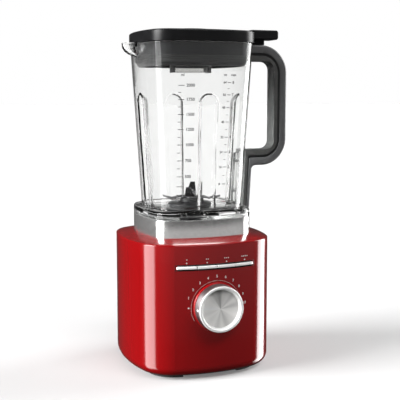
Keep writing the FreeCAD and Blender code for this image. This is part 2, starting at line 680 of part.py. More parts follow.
def make_dial():
    level = "Sizes.dial_level"
    front, back = -size("halo_front"), -size("halo_back")
    turned("halo_ring", [(20, back), (size("halo_radius"), back), (size("halo_radius"), front + 0.4),
                         (size("halo_radius") - 0.4, front), (20, front)], "XY_Plane", level)
    knob_back, knob_front = -size("knob_back"), -size("knob_front")
    seat = -size("knob_recess")
    outer, skirt, face = size("knob_radius"), size("knob_skirt_radius"), size("knob_face_radius")
    shaft = size("encoder_shaft_radius")
    profile = [(shaft, seat), (face + 0.1, seat), (face + 0.1, seat - size("knob_face_thickness"))]
    profile += [(face + 2.1, knob_front), (outer - 1.0, knob_front), (outer, knob_front + 1.0)]
    profile += [(outer, knob_front + 3.5), (skirt, knob_back), (skirt - 3.5, knob_back)]
    profile += [(skirt - 3.5, seat + 3.0), (7.0, seat + 3.0), (7.0, knob_back), (shaft, knob_back)]
    knob = turned("knob_body", profile, "XY_Plane", level)
    notch = new_sketch(knob, "pointer_notch", "YZ_Plane", "-Sizes.knob_skirt_radius - 1")
    dial = size("dial_level")
    add_polygon(notch, [(-114.5, dial - 1.1), (-108.0, dial - 1.1), (-108.0, dial + 1.1), (-114.5, dial + 1.1)])
    pocket(knob, "pointer_notch_cut", notch, "2.6", reverse=True)
    pointer = block("knob_pointer", (-31.3, -114.5, dial - 1.1), (-29.7, -108.0, dial + 1.1))
    node(pointer, "knob_pointer")
    turned("knob_face", [(0, seat), (face, seat), (face, seat - size("knob_face_thickness") + 0.2),
                         (face - 0.3, seat - size("knob_face_thickness")),
                         (0, seat - size("knob_face_thickness") - 0.3)], "XY_Plane", level)
    turned("encoder_shaft", [(0, seat), (shaft, seat), (shaft, -81.0), (0, -81.0)], "XY_Plane", level)
    bore = size("encoder_bore")
    turned("speed_encoder", [(bore, -97.0), (4.6, -97.0), (4.6, -88.0), (8.0, -88.0), (8.0, -80.0),
                             (0, -80.0), (0, -80.7), (bore, -80.7)], "XY_Plane", level)


def make_boards():
    front = -size("board_front")
    back = front + size("board_thickness")
    board = new_body("control_sheet_body")
    outline = new_sketch(board, "control_outline", "XZ_Plane", "Sizes.board_front - Sizes.board_thickness")
    add_polygon(outline, [(-60, 72), (60, 72), (60, 168), (-60, 168)])
    pad(board, "control_sheet", outline, "Sizes.board_thickness")
    chips = [block("chip_%d" % k, (x - 6, back, z), (x + 6, back + 2.2, z + 9))
             for k, (x, z) in enumerate(((-30, 84), (0, 120), (30, 84)))]
    node(fuse("control_board_full", [board] + chips), "control_board")
    switches = []
    for index, x in enumerate(button_places()):
        case = block("switch_case_%d" % index, (x - 3, front - 3.4, size("button_level") - 3),
                     (x + 3, front, size("button_level") + 3))
        plunger = cylinder("switch_tip_%d" % index, "1.5", "1", x, front - 4.3, size("button_level"), "Y")
        switches.append(fuse("switch_%d" % index, [case, plunger]))
    node(group("push_switches", switches), "push_switches")
    sheet_part = block("power_sheet", (-45, 66, 45), (45, 66 + size("board_thickness"), 125))
    posts = [cylinder("power_post_%d" % k, "4", "%f" % (92.4 - 67.5), x, 67.5, z, "Y")
             for k, (x, z) in enumerate(((-38, 52), (38, 52), (-38, 118), (38, 118)))]
    node(fuse("power_board_full", [sheet_part] + posts), "power_board")
    capacitor = cylinder("power_capacitor", "8", "26", -24, 75.6, 80)
    choke = block("power_choke", (4, 67.6, 84), (30, 84, 110))
    node(group("power_components", [capacitor, choke]), "power_components")


# ---------------------------------------------------------------- motor


def ring_points(inner, outer, low, high):
    return [(inner, low), (outer, low), (outer, high), (inner, high)]


def make_stator():
    stator = new_body("motor_stator")
    section = new_sketch(stator, "stator_section", "XY_Plane", "Sizes.stator_bottom")
    add_circle(section, 0, 0, "stator_radius")
    add_circle(section, 0, 0, "stator_bore")
    pad(stator, "stator_stack", section, "Sizes.stator_height")
    slots = new_sketch(stator, "stator_slots", "XY_Plane", "Sizes.stator_bottom - 1")
    up = FreeCAD.Vector(0, 0, 1)
    coils = []
    for index, middle in enumerate((90, 270)):
        start, end = math.radians(middle - 55), math.radians(middle + 55)
        outer = Part.ArcOfCircle(Part.Circle(FreeCAD.Vector(), up, size("coil_outer")), start, end)
        inner = Part.ArcOfCircle(Part.Circle(FreeCAD.Vector(), up, size("coil_inner")), start, end)
        edges = [outer, inner, Part.LineSegment(outer.EndPoint, inner.EndPoint),
                 Part.LineSegment(outer.StartPoint, inner.StartPoint)]
        slots.addGeometry(edges)
        coil = new_body("field_coil_%d" % index)
        plan = new_sketch(coil, "coil_plan_%d" % index, "XY_Plane", "Sizes.stator_bottom - Sizes.coil_overhang")
        plan.addGeometry(edges)
        pad(coil, "coil_pad_%d" % index, plan, "Sizes.stator_height + 2 * Sizes.coil_overhang")
        coils.append(coil)
    pocket(stator, "stator_slot_cut", slots, "Sizes.stator_height + 2", reverse=True)
    bolts = new_sketch(stator, "stator_bolt_holes", "XY_Plane", "Sizes.stator_bottom - 1")
    for x, y in bolt_places():
        bolts.addGeometry(Part.Circle(FreeCAD.Vector(x, y, 0), up, size("bolt_radius") + 0.1))
    pocket(stator, "stator_bolt_cut", bolts, "Sizes.stator_height + 2", reverse=True)
    node(stator, "motor_stator")
    node(group("field_windings", coils), "field_windings")


def bolt_places():
    places = []
    for middle in (0, 180):
        for side in (-1, 1):
            angle = math.radians(middle + side * size("bolt_angle"))
            places.append((size("bolt_circle") * math.cos(angle), size("bolt_circle") * math.sin(angle)))
    return places


def make_bracket(label, low, high, radius, boss_low, boss_high, sleeve_low, sleeve_high):
    """A plate with a bearing boss, air windows and four bolt sleeves."""
    body = new_body(label)
    half = new_sketch(body, label + "_section", "XZ_Plane")
    boss = size("bearing_outer") + 3
    inner = size("bearing_outer")
    shape = [(inner, boss_low), (boss, boss_low), (boss, low), (radius, low), (radius, high), (boss, high)]
    shape += [(boss, boss_high), (inner, boss_high)]
    distinct = [shape[0]] + [b for a, b in zip(shape, shape[1:]) if a != b]
    add_polygon(half, distinct)
    revolve(body, label + "_turn", half)
    sleeves = new_sketch(body, label + "_sleeves", "XY_Plane", "%f" % sleeve_low)
    for x, y in bolt_places():
        sleeves.addGeometry(Part.Circle(FreeCAD.Vector(x, y, 0), FreeCAD.Vector(0, 0, 1), 3.4))
    pad(body, label + "_sleeve_pad", sleeves, "%f" % (sleeve_high - sleeve_low))
    holes = new_sketch(body, label + "_holes", "XY_Plane", "%f" % (min(low, sleeve_low) - 5))
    for x, y in bolt_places():
        holes.addGeometry(Part.Circle(FreeCAD.Vector(x, y, 0), FreeCAD.Vector(0, 0, 1), size("bolt_radius") + 0.1))
    pocket(body, label + "_hole_cut", holes, "60", reverse=True)
    windows = new_sketch(body, label + "_windows", "XY_Plane", "%f" % (low - 1))
    up = FreeCAD.Vector(0, 0, 1)
    for middle in (90, 270):
        start, end = math.radians(middle - 50), math.radians(middle + 50)
        outer = Part.ArcOfCircle(Part.Circle(FreeCAD.Vector(), up, 38.0), start, end)
        inner_arc = Part.ArcOfCircle(Part.Circle(FreeCAD.Vector(), up, 21.0), start, end)
        windows.addGeometry([outer, inner_arc, Part.LineSegment(outer.EndPoint, inner_arc.EndPoint),
                             Part.LineSegment(outer.StartPoint, inner_arc.StartPoint)])
    pocket(body, label + "_window_cut", windows, "%f" % (high - low + 2), reverse=True)
    return node(body, label)


def make_motor_frame():
    top = size("stator_bottom") + size("stator_height")
    make_bracket("lower_motor_bracket", 34.0, 38.0, 48.0, 34.0, 46.0, 36.0, size("stator_bottom"))
    upper = make_bracket("upper_motor_bracket", 156.0, 160.0, 60.0, 153.0, 164.0, top, 158.0)
    holes = new_sketch(upper, "mount_holes", "XY_Plane", "150")
    for x, y in corners(size("mount_reach")):
        holes.addGeometry(Part.Circle(FreeCAD.Vector(x, y, 0), FreeCAD.Vector(0, 0, 1), 2.0))
    pocket(upper, "mount_hole_cut", holes, "12", reverse=True)
    bore, outer = size("motor_bore"), size("bearing_outer")
    height = size("bearing_height")
    turned("lower_motor_bearing", ring_points(bore, outer, 36.0, 36.0 + height))
    turned("upper_motor_bearing", ring_points(bore, outer, 154.0, 154.0 + height))
    mounts = [cylinder("rubber_%d" % k, "7", "8", x, y, 160) for k, (x, y) in enumerate(corners(size("mount_reach")))]
    node(group("motor_mounts", mounts), "motor_mounts")
    bolts = []
    for index, (x, y) in enumerate(bolt_places()):
        shank = cylinder("bolt_shank_%d" % index, "Sizes.bolt_radius", "130", x, y, 34)
        head = cylinder("bolt_head_%d" % index, "3.2", "3", x, y, 31)
        bolts.append(fuse("bolt_%d" % index, [shank, head]))
    node(group("motor_bolts", bolts), "motor_bolts")
    holders, brushes = [], []
    for index, side in enumerate((-1, 1)):
        low, high = sorted((side * 17.0, side * 35.0))
        case = block("holder_case_%d" % index, (low, -6.0, 51.0), (high, 6.0, 65.0))
        slot = block("holder_slot_%d" % index, (low - 1, -4.1, 53.9), (high + 1, 4.1, 62.1))
        leg_low, leg_high = sorted((side * 24.0, side * 30.0))
        leg = block("holder_leg_%d" % index, (leg_low, -5.0, 38.0), (leg_high, 5.0, 52.0))
        holders.append(cut("brush_holder_%d" % index, fuse("holder_solid_%d" % index, [case, leg]), slot))
        low, high = sorted((side * 14.3, side * 33.0))
        brushes.append(block("brush_%d" % index, (low, -4.0, 54.0), (high, 4.0, 62.0)))
    node(group("brush_holders", holders), "brush_holders")
    node(group("carbon_brushes", brushes), "carbon_brushes")


def make_armature():
    shaft = size("motor_shaft_radius")
    turned("motor_shaft", [(0, 31.0), (shaft - 0.5, 31.0), (shaft, 31.5), (shaft, 193.0), (0, 193.0)])
    core = new_body("armature_core")
    plan = new_sketch(core, "core_plan", "XY_Plane", "Sizes.stator_bottom + 1")
    add_circle(plan, 0, 0, "rotor_radius")
    add_circle(plan, 0, 0, "motor_shaft_radius")
    pad(core, "core_stack", plan, "Sizes.stator_height - 2")
    slot = new_sketch(core, "core_slot", "XY_Plane", "Sizes.stator_bottom")
    near, far, half = size("rotor_radius") - size("slot_depth"), size("rotor_radius") + 1, size("slot_width") / 2
    add_polygon(slot, [(near, -half), (far, -half), (far, half), (near, half)])
    first = pocket(core, "core_slot_cut", slot, "Sizes.stator_height", reverse=True)
    polar(core, "core_slots", first, slot, int(size("rotor_slots")))
    node(core, "armature_core")
    low, high = size("stator_bottom") + 1, size("stator_bottom") + size("stator_height") - 1
    winding = new_body("armature_winding")
    rings = new_sketch(winding, "winding_section", "XZ_Plane")
    add_polygon(rings, [(shaft + 1, low - 8), (20, low - 8), (24, low - 4), (24, low), (shaft + 1, low)])
    revolve(winding, "winding_lower_end", rings)
    strand = new_sketch(winding, "winding_strand", "XY_Plane", "Sizes.stator_bottom")
    edge = half - 0.1
    add_polygon(strand, [(near + 0.1, -edge), (24, -edge), (24, edge), (near + 0.1, edge)])
    first = pad(winding, "winding_strand_pad", strand, "Sizes.stator_height")
    polar(winding, "winding_strands", first, strand, int(size("rotor_slots")))
    top = new_sketch(winding, "winding_top_section", "XZ_Plane")
    add_polygon(top, [(shaft + 1, high), (24, high), (24, high + 4), (20, high + 8), (shaft + 1, high + 8)])
    revolve(winding, "winding_upper_end", top)
    node(winding, "armature_winding")
    turned("commutator", ring_points(shaft, size("commutator_radius"), 50.0, 66.0))
    make_fan()


def make_fan():
    shaft = size("motor_shaft_radius")
    fan = new_body("cooling_fan")
    section = new_sketch(fan, "fan_section", "XZ_Plane")
    add_polygon(section, [(shaft, 140.5), (35.5, 140.5), (35.5, 142.0), (9.0, 142.0), (9.0, 151.0), (shaft, 151.0)])
    revolve(fan, "fan_disc", section)
    blade = new_sketch(fan, "fan_blade", "XY_Plane", "141")
    add_polygon(blade, [(14, -0.8), (35, 7.2), (35, 8.9), (14, 0.9)])
    first = pad(fan, "fan_blade_pad", blade, "9.5")
    polar(fan, "fan_blades", first, blade, 11)
    return node(fan, "cooling_fan")


def star(body, name, level, core, tip, tooth, length, count):
    """A toothed boss: a round core with straight teeth."""
    round_sketch = new_sketch(body, name + "_core", "XY_Plane", "%f" % level)
    round_sketch.addGeometry(Part.Circle(FreeCAD.Vector(), FreeCAD.Vector(0, 0, 1), core))
    pad(body, name + "_core_pad", round_sketch, "%f" % length)
    tooth_sketch = new_sketch(body, name + "_tooth", "XY_Plane", "%f" % level)
    half = tooth / 2
    add_polygon(tooth_sketch, [(core - 2, -half), (tip, -half), (tip, half), (core - 2, half)])
    first = pad(body, name + "_tooth_pad", tooth_sketch, "%f" % length)
    return polar(body, name + "_teeth", first, tooth_sketch, count)


def make_couplings():
    shaft = size("motor_shaft_radius")
    cup = new_body("drive_coupling")
    section = new_sketch(cup, "cup_section", "XZ_Plane")
    outer, core = size("coupling_outer"), size("coupling_core")
    add_polygon(section, [(shaft, 186.5), (outer - 3, 186.5), (outer, 189.5), (outer, 199.5), (core, 199.5),
                          (core, 193.5), (shaft, 193.5)])
    revolve(cup, "cup_turn", section)
    slot = new_sketch(cup, "cup_slot", "XY_Plane", "193.5")
    half = size("coupling_tooth") / 2
    add_polygon(slot, [(core - 2, -half), (size("coupling_tip"), -half), (size("coupling_tip"), half),
                       (core - 2, half)])
    first = pocket(cup, "cup_slot_cut", slot, "7", reverse=True)
    polar(cup, "cup_slots", first, slot, int(size("coupling_teeth")))
    node(cup, "drive_coupling")
    play = size("coupling_play")
    driven = new_body("driven_coupling")
    star(driven, "driven", 194.2, core - play, size("coupling_tip") - play,
         size("coupling_tooth") - 2 * play, 6.0, int(size("coupling_teeth")))
    bore = new_sketch(driven, "driven_bore", "XY_Plane", "195.5")
    bore.addGeometry(Part.Circle(FreeCAD.Vector(), FreeCAD.Vector(0, 0, 1), size("blade_shaft_radius")))
    pocket(driven, "driven_bore_cut", bore, "6", reverse=True)
    node(driven, "driven_coupling")


# ---------------------------------------------------------------- jar


def flute(name, side, extra_radius, extra_drop):
    """One flute cutter: a tapering round bar with a ball end, leaning with the jar wall."""
    low, high = size("jar_foot_top") - extra_drop, size("flute_top")
    low_out = jar_half(low) + size("flute_low_out")
    high_out = jar_half(high) + size("flute_high_out")
    length = math.hypot(high - low, high_out - low_out)
    lean = math.degrees(math.atan2(high_out - low_out, high - low))
    low_radius = size("flute_low_radius") + extra_radius
    high_radius = size("flute_high_radius") + extra_radius
    body = new_body(name)
    section = new_sketch(body, name + "_section", "XZ_Plane")
    ball = Part.Circle(FreeCAD.Vector(0, length, 0), FreeCAD.Vector(0, 0, 1), high_radius)
    foot, wide = FreeCAD.Vector(low_radius, 0, 0), FreeCAD.Vector(high_radius, length, 0)
    top = FreeCAD.Vector(0, length + high_radius, 0)
    section.addGeometry([Part.LineSegment(FreeCAD.Vector(), foot), Part.LineSegment(foot, wide),
                         Part.ArcOfCircle(ball, 0, math.pi / 2), Part.LineSegment(top, FreeCAD.Vector())])
    revolve(body, name + "_turn", section)
    tilt = FreeCAD.Rotation(FreeCAD.Vector(0, 1, 0), lean)
    turn = FreeCAD.Rotation(FreeCAD.Vector(0, 0, 1), 90 * side)
    start = turn.multVec(FreeCAD.Vector(low_out, 0, low))
    body.Placement = FreeCAD.Placement(start, turn.multiply(tilt))
    body.Visibility = False
    return body


def spout_solid(name, inset):
    """The rounded spout, or its inside when an inset is given, as a stack of flat sections."""
    profile = [(423.5, 78.5, 6.0), (426.0, 87.0, 13.0), (430.0, 93.0, 17.0), (435.0, 96.3, 20.0)]
    profile.append((size("jar_rim"), size("spout_reach"), 22.0))
    sections = []
    for index, (height, tip, half) in enumerate(profile):
        level = height + inset
        if inset and index == len(profile) - 1:
            level = height + 1
        reach = tip - inset
        root = -(jar_half(level) - 12.0)
        spread = half - inset
        a = FreeCAD.Vector(root, spread, 0)
        b = FreeCAD.Vector(-reach + spread * 0.14, spread * 0.3, 0)
        c = FreeCAD.Vector(-reach + spread * 0.14, -spread * 0.3, 0)
        d = FreeCAD.Vector(root, -spread, 0)
        tip_point = FreeCAD.Vector(-reach, 0, 0)
        edges = [Part.LineSegment(a, b), Part.Arc(b, tip_point, c), Part.LineSegment(c, d), Part.LineSegment(d, a)]
        sections.append(flat_section("%s_section_%d" % (name, index), edges, level))
    return loft(name, sections)


def make_jar():
    floor, rim, foot_top = size("jar_floor"), size("jar_rim"), size("jar_foot_top")
    shell = loft("jar_shell", [flat_section("jar_low", jar_outline(foot_top - 4, 0), foot_top - 4),
                               flat_section("jar_high", jar_outline(rim, 0), rim)])
    spout = spout_solid("spout_outside", 0.0)
    grooves = []
    fat_grooves = []
    for side in range(4):
        grooves.append(flute("flute_%d" % side, side, 0.0, 3.0))
        fat_grooves.append(flute("flute_back_%d" % side, side, size("jar_wall"), 6.0))
    outside = cut("jar_outside", fuse("jar_with_spout", [shell, spout]), group("flutes", grooves))
    wall = size("jar_wall")
    hollow = loft("jar_hollow", [flat_section("hollow_low", jar_outline(floor, wall), floor),
                                 flat_section("hollow_high", jar_outline(rim + 1, wall), rim + 1)])
    inside = cut("jar_inside", hollow, group("flute_backs", fat_grooves))
    channel = spout_solid("spout_inside", 2.6)
    foot = make_jar_foot()
    rib = make_jar_rib()
    boss = block("handle_boss", (70.0, -6.0, 424.0), (90.0, 6.0, 437.0))
    solid = fuse("jar_solid", [outside, foot, rib, boss])
    doc.recompute()
    emptied = cut("jar_emptied", cut("jar_open", solid, inside), channel)
    hole = cylinder("jar_floor_hole", "Sizes.jar_hole", "12", 0, 0, size("jar_recess") - 2)
    screws = [cylinder("jar_screw_hole_%d" % k, "Sizes.handle_screw_radius + 0.1", "13", 66.5, 0, z, "X")
              for k, z in enumerate((238, 280))]
    return node(cut("jar_body", emptied, fuse("jar_holes", [hole] + screws)), "jar_body")


def make_jar_foot():
    body = new_body("jar_foot")
    outline = new_sketch(body, "foot_outline", "XY_Plane", "Sizes.jar_seat")
    outline.addGeometry(collar_outline(0))
    pad(body, "foot_pad", outline, "Sizes.jar_foot_top - Sizes.jar_seat")
    dress(body, "Fillet", "foot_edge", level_edges(body.Shape, size("jar_foot_top")),
          "Radius", "Sizes.jar_foot_round")
    lobe = new_sketch(body, "foot_lobe", "XY_Plane", "Sizes.jar_seat")
    add_polygon(lobe, [(66, -10), (84.5, -10), (84.5, 10), (66, 10)])
    pad(body, "foot_lobe_pad", lobe, "4.6")
    recess = new_sketch(body, "foot_recess", "XY_Plane", "Sizes.jar_seat - 1")
    recess.addGeometry(collar_outline(7))
    pocket(body, "foot_recess_cut", recess, "Sizes.jar_recess - Sizes.jar_seat + 1", reverse=True)
    body.Visibility = False
    return body


def make_jar_rib():
    body = new_body("jar_rib")
    side = new_sketch(body, "rib_side", "XZ_Plane")
    add_polygon(side, [(62.5, 219.0), (74.4, 219.0), (77.9, 292.0), (66.5, 292.0)])
    pad(body, "rib_pad", side, "14", midplane=True)
    body.Visibility = False
    return body


def make_blade_unit():
    bearing, bore = size("blade_bearing_outer"), size("blade_bore")
    turned("bearing_housing", [(bearing, 201.2), (15.5, 201.2), (15.5, 221.6), (32.0, 221.6), (32.0, 223.2),
                               (30.5, 224.6), (17.0, 225.2), (13.5, 231.0), (bearing, 231.0)])
    lower = ring_points(bore, bearing, 201.6, 208.6)
    upper = ring_points(bore, bearing, 215.0, 222.0)
    turned("lower_blade_bearing", lower)
    turned("upper_blade_bearing", upper)
    turned("shaft_seal", ring_points(bore, bearing, 224.5, 230.5))
    turned("floor_gasket", ring_points(17.0, 31.0, 220.0, 221.5))
    turned("lock_nut", ring_points(15.6, 28.0, 207.4, 213.9))
    shaft = size("blade_shaft_radius")
    turned("blade_shaft", [(0, 195.6), (shaft, 195.6), (shaft, 241.4), (shaft - 0.8, 242.2), (0, 242.2)])


def make_blade(label, level, profile, turn, taper):
    """A bent blade: side profile padded across, then its ends cut to a taper."""
    body = new_body(label)
    side = new_sketch(body, label + "_side", "XZ_Plane")
    thickness = size("blade_thickness")
    right = [(r, level + z) for r, z in profile]
    left = [(-r, z) for r, z in reversed(right)]
    upper = [(r, z + thickness) for r, z in left + right]
    add_polygon(side, left + right + upper[::-1])
    pad(body, label + "_strip", side, "Sizes.blade_width", midplane=True)
    trims = new_sketch(body, label + "_trims", "XY_Plane", "%f" % (level - 30))
    tip = profile[-1][0] + 1
    half = size("blade_width") / 2
    for sx in (1, -1):
        for sy in (1, -1):
            narrow = taper[0] if sx * sy > 0 else taper[1]
            add_polygon(trims, [(sx * 13, sy * (half + 0.5)), (sx * tip, sy * narrow), (sx * tip, sy * (half + 0.5))])
    pocket(body, label + "_trim_cut", trims, "70", reverse=True)
    hole = new_sketch(body, label + "_hole", "XY_Plane", "%f" % (level - 10))
    add_circle(hole, 0, 0, "blade_shaft_radius")
    pocket(body, label + "_hole_cut", hole, "30", reverse=True)
    body.Placement = FreeCAD.Placement(FreeCAD.Vector(), FreeCAD.Rotation(FreeCAD.Vector(0, 0, 1), turn))
    return node(body, label)


def make_blades():
    make_blade("lower_blade", 232.0, [(9, 0), (14, 0), (27, -2.5), (41, 1.0)], -20, (1.0, 5.5))
    make_blade("upper_blade", 234.2, [(9, 0), (13, 0), (25, 4.5), (37, 13.5)], 68, (1.0, 5.0))
    shaft = size("blade_shaft_radius")
    turned("blade_washer", ring_points(shaft, 8.0, 231.4, 232.0))
    nut = new_body("blade_nut")
    plan = new_sketch(nut, "nut_plan", "XY_Plane", "236")
    flats = [(8.0 * math.cos(math.radians(60 * k)), 8.0 * math.sin(math.radians(60 * k))) for k in range(6)]
    add_polygon(plan, flats)
    add_circle(plan, 0, 0, "blade_shaft_radius")
    pad(nut, "nut_pad", plan, "4.5")
    node(nut, "blade_nut")


# ---------------------------------------------------------------- handle


def rounded_path(points):
    """Sketch edges along a closed polygon; a third number rounds that corner."""
    corners_in = [(FreeCAD.Vector(p[0], p[1], 0), p[2] if len(p) > 2 else 0) for p in points]
    count = len(corners_in)
    ends = []
    for index, (point, radius) in enumerate(corners_in):
        before = (corners_in[index - 1][0] - point).normalize()
        after = (corners_in[(index + 1) % count][0] - point).normalize()
        if radius:
            angle = before.getAngle(after)
            trim = radius / math.tan(angle / 2)
            centre = point + (before + after).normalize() * (radius / math.sin(angle / 2))
            middle = centre + (point - centre).normalize() * radius
            ends.append((point + before * trim, middle, point + after * trim))
        else:
            ends.append((point, None, point))
    edges = []
    for index, (start, middle, end) in enumerate(ends):
        if middle is not None:
            edges.append(Part.Arc(start, middle, end))
        following = ends[(index + 1) % count][0]
        if end.distanceToPoint(following) > 1e-6:
            edges.append(Part.LineSegment(end, following))
    return edges


def make_handle_piece(label, points, round_edges):
    body = new_body(label)
    side = new_sketch(body, label + "_side", "XZ_Plane")
    side.addGeometry(rounded_path(points))
    pad(body, label + "_pad", side, "2 * Sizes.handle_half_width", midplane=True)
    names = []
    for index, edge in enumerate(body.Shape.Edges, start=1):
        box = edge.BoundBox
        on_side = abs(abs(box.YMin) - size("handle_half_width")) < 0.01 and box.YLength < 0.01
        if on_side and round_edges(edge):
            names.append("Edge%d" % index)
    dress(body, "Fillet", label + "_rounding", names, "Radius", "Sizes.handle_round")
    return node(body, label)


def make_handle():
    outer, inner, split = size("handle_outer"), size("handle_inner"), size("handle_split")
    top, bar_low = size("handle_top"), size("handle_bar_low")
    bar_top_split, bar_low_split = top - 11.0, bar_low + 11.0
    cover = [(80.5, top), (outer, top, 39.0), (outer, bar_low, 37.0), (88.9, bar_low, 7.0)]
    cover += [(85.3, 214.6), (80.4, 214.6), (84.2, bar_low_split, 3.0), (split, bar_low_split, 26.0)]
    cover += [(split, bar_top_split, 28.0), (80.5, bar_top_split)]
    core = [(80.5, bar_top_split - 0.1), (split - 0.1, bar_top_split - 0.1, 27.9)]
    core += [(split - 0.1, bar_low_split + 0.1, 25.9), (84.1, bar_low_split + 0.1, 3.0), (80.2, 214.6)]
    core += [(74.8, 214.6), (78.6, 296.5), (inner, 296.5, 12.0), (inner, 419.5, 12.0), (80.5, 419.5)]

    def outside_edge(edge):
        box = edge.BoundBox
        return box.XMax > 100 and (box.XMax > split + 5 or box.ZMax > top - 1 or box.ZMin < bar_low + 1)

    def inside_edge(edge):
        box = edge.BoundBox
        return box.XMin > 95 and box.XMax < inner + 0.5 and box.ZMin > 290 and box.ZMax < 425

    make_handle_piece("handle_cover", cover, outside_edge)
    core_body = make_handle_piece("handle_core", core, inside_edge)
    pocket_sketch = new_sketch(core_body, "boss_socket", "YZ_Plane", "79")
    add_polygon(pocket_sketch, [(-6.2, 423.8), (6.2, 423.8), (6.2, 437.2), (-6.2, 437.2)])
    pocket(core_body, "boss_socket_cut", pocket_sketch, "11.5", reverse=True)
    cover_body = [item for item in NODES if item.Label == "handle_cover"][0]
    cover_socket = new_sketch(cover_body, "cover_socket", "YZ_Plane", "79")
    add_polygon(cover_socket, [(-6.2, 423.8), (6.2, 423.8), (6.2, 437.2), (-6.2, 437.2)])
    pocket(cover_body, "cover_socket_cut", cover_socket, "11.5", reverse=True)
    holes = new_sketch(core_body, "core_screw_holes", "YZ_Plane", "70")
    for z in (238, 280):
        holes.addGeometry(Part.Circle(FreeCAD.Vector(0, z, 0), FreeCAD.Vector(0, 0, 1), 2.1))
    pocket(core_body, "core_screw_cut", holes, "20", reverse=True)
    heads = new_sketch(core_body, "core_head_holes", "YZ_Plane", "80")
    for z in (238, 280):
        heads.addGeometry(Part.Circle(FreeCAD.Vector(0, z, 0), FreeCAD.Vector(0, 0, 1), 4.1))
    pocket(core_body, "core_head_cut", heads, "20", reverse=True)
    screws = []
    for index, z in enumerate((238, 280)):
        shank = cylinder("handle_shank_%d" % index, "Sizes.handle_screw_radius", "12.4", 67.6, 0, z, "X")
        head = cylinder("handle_head_%d" % index, "3.9", "1.2", 80.0, 0, z, "X")
        screws.append(fuse("handle_screw_%d" % index, [shank, head]))
    node(group("handle_screws", screws), "handle_screws")


# ---------------------------------------------------------------- lid


def make_lid():
    under, top, skirt = size("lid_under"), size("lid_top"), size("skirt_bottom")
    wall = size("skirt_wall")
    skirt_inset = size("jar_wall") + size("skirt_gap")
    skirt_end = size("jar_wall") + size("skirt_end_gap")
    rim = new_body("lid_rim")
    outline = new_sketch(rim, "lid_outline", "XY_Plane", "Sizes.lid_under")
    outline.addGeometry(lid_outline(size("lid_half")))
    pad(rim, "lid_slab", outline, "Sizes.lid_top - Sizes.lid_under")
    dress(rim, "Fillet", "lid_top_edge", level_edges(rim.Shape, top), "Radius", "2.5")
    tab = new_body("lid_tab")
    side = new_sketch(tab, "tab_side", "XZ_Plane")
    tab_top, tab_under, end = size("tab_top"), size("tab_under"), size("tab_end")
    side.addGeometry(rounded_path([(66.0, top - 3.0), (86.0, tab_top, 14.0), (end, tab_top, 3.5),
                                   (end, tab_under, 3.5), (84.0, tab_under, 6.0), (76.0, under + 0.5), (66.0, under + 0.5)]))
    pad(tab, "tab_pad", side, "2 * Sizes.tab_half", midplane=True)
    post = block("lid_post", (92.0, -8.0, size("handle_top") + 0.4), (108.0, 8.0, tab_under + 1.0))
    tongue = block("lid_tongue", (-81.5, -7.0, 436.0), (-77.0, 7.0, under + 1.0))
    upper = flat_section("skirt_high", jar_outline(under + 1, skirt_inset), under + 1)
    middle = flat_section("skirt_mid", jar_outline(skirt + 4, skirt_inset), skirt + 4)
    lower = flat_section("skirt_low", jar_outline(skirt, skirt_end), skirt)
    skirt_solid = loft("lid_skirt", [lower, middle, upper])
    collar = cylinder("lid_cap_collar", "Sizes.cap_collar", "Sizes.lid_top - Sizes.cap_collar_bottom",
                      0, 0, size("cap_collar_bottom"))
    window = block("cap_window_tool", (-size("cap_window"), -40.0, size("cap_collar_bottom") - 1.0),
                   (size("cap_window"), 40.0, skirt))
    collar = cut("lid_windowed_collar", collar, window)
    space_high = flat_section("space_high", jar_outline(top - 4, skirt_inset + wall), top - 4)
    space_mid = flat_section("space_mid", jar_outline(skirt + 4, skirt_inset + wall), skirt + 4)
    space_low = flat_section("space_low", jar_outline(skirt - 1, skirt_end + wall), skirt - 1)
    space = loft("lid_space", [space_low, space_mid, space_high])
    shell = cut("lid_shell", fuse("lid_solid", [rim, tab, post, skirt_solid, tongue]), space)
    opening = cylinder("lid_opening", "Sizes.cap_opening", "80", 0, 0, size("cap_collar_bottom") - 5)
    body = cut("lid_body", fuse("lid_with_collar", [shell, collar]), opening)
    return node(body, "lid_body")


def make_lid_seal():
    """A soft sleeve round the skirt with three sealing ribs."""
    inner = size("jar_wall") + size("skirt_gap")

    def ring(name, bottom, height, thickness):
        body = new_body(name)
        plan = new_sketch(body, name + "_plan", "XY_Plane", "%f" % bottom)
        top = bottom + height
        plan.addGeometry(jar_outline(top, inner - 0.02 - thickness))
        plan.addGeometry(jar_outline(top, inner - 0.02))
        pad(body, name + "_pad", plan, "%f" % height)
        body.Visibility = False
        return body

    rings = []
    for index, bottom in enumerate((417.6, 420.5, 423.4)):
        rings.append(ring("seal_rib_%d" % index, bottom, 1.2, 3.1))
        rings.append(ring("seal_web_%d" % index, bottom - 1.7, 2.9, 0.8))
    return node(fuse("lid_seal", rings), "lid_seal")


def make_cap():
    top, bottom = size("cap_top"), size("lid_top") + 0.3
    radius = size("cap_radius")
    turned("lid_cap", [(0, bottom), (radius, bottom), (radius, top - 1.2), (radius - 1.2, top), (0, top)])
    cup, wall, mouth = size("cup_radius"), size("cup_wall"), size("cup_bottom")
    turned("dosing_cup", [(0, bottom - 2.0), (cup - wall, bottom - 2.0), (cup - wall - 0.8, mouth), (cup - 0.8, mouth),
                          (cup, bottom), (0, bottom)])


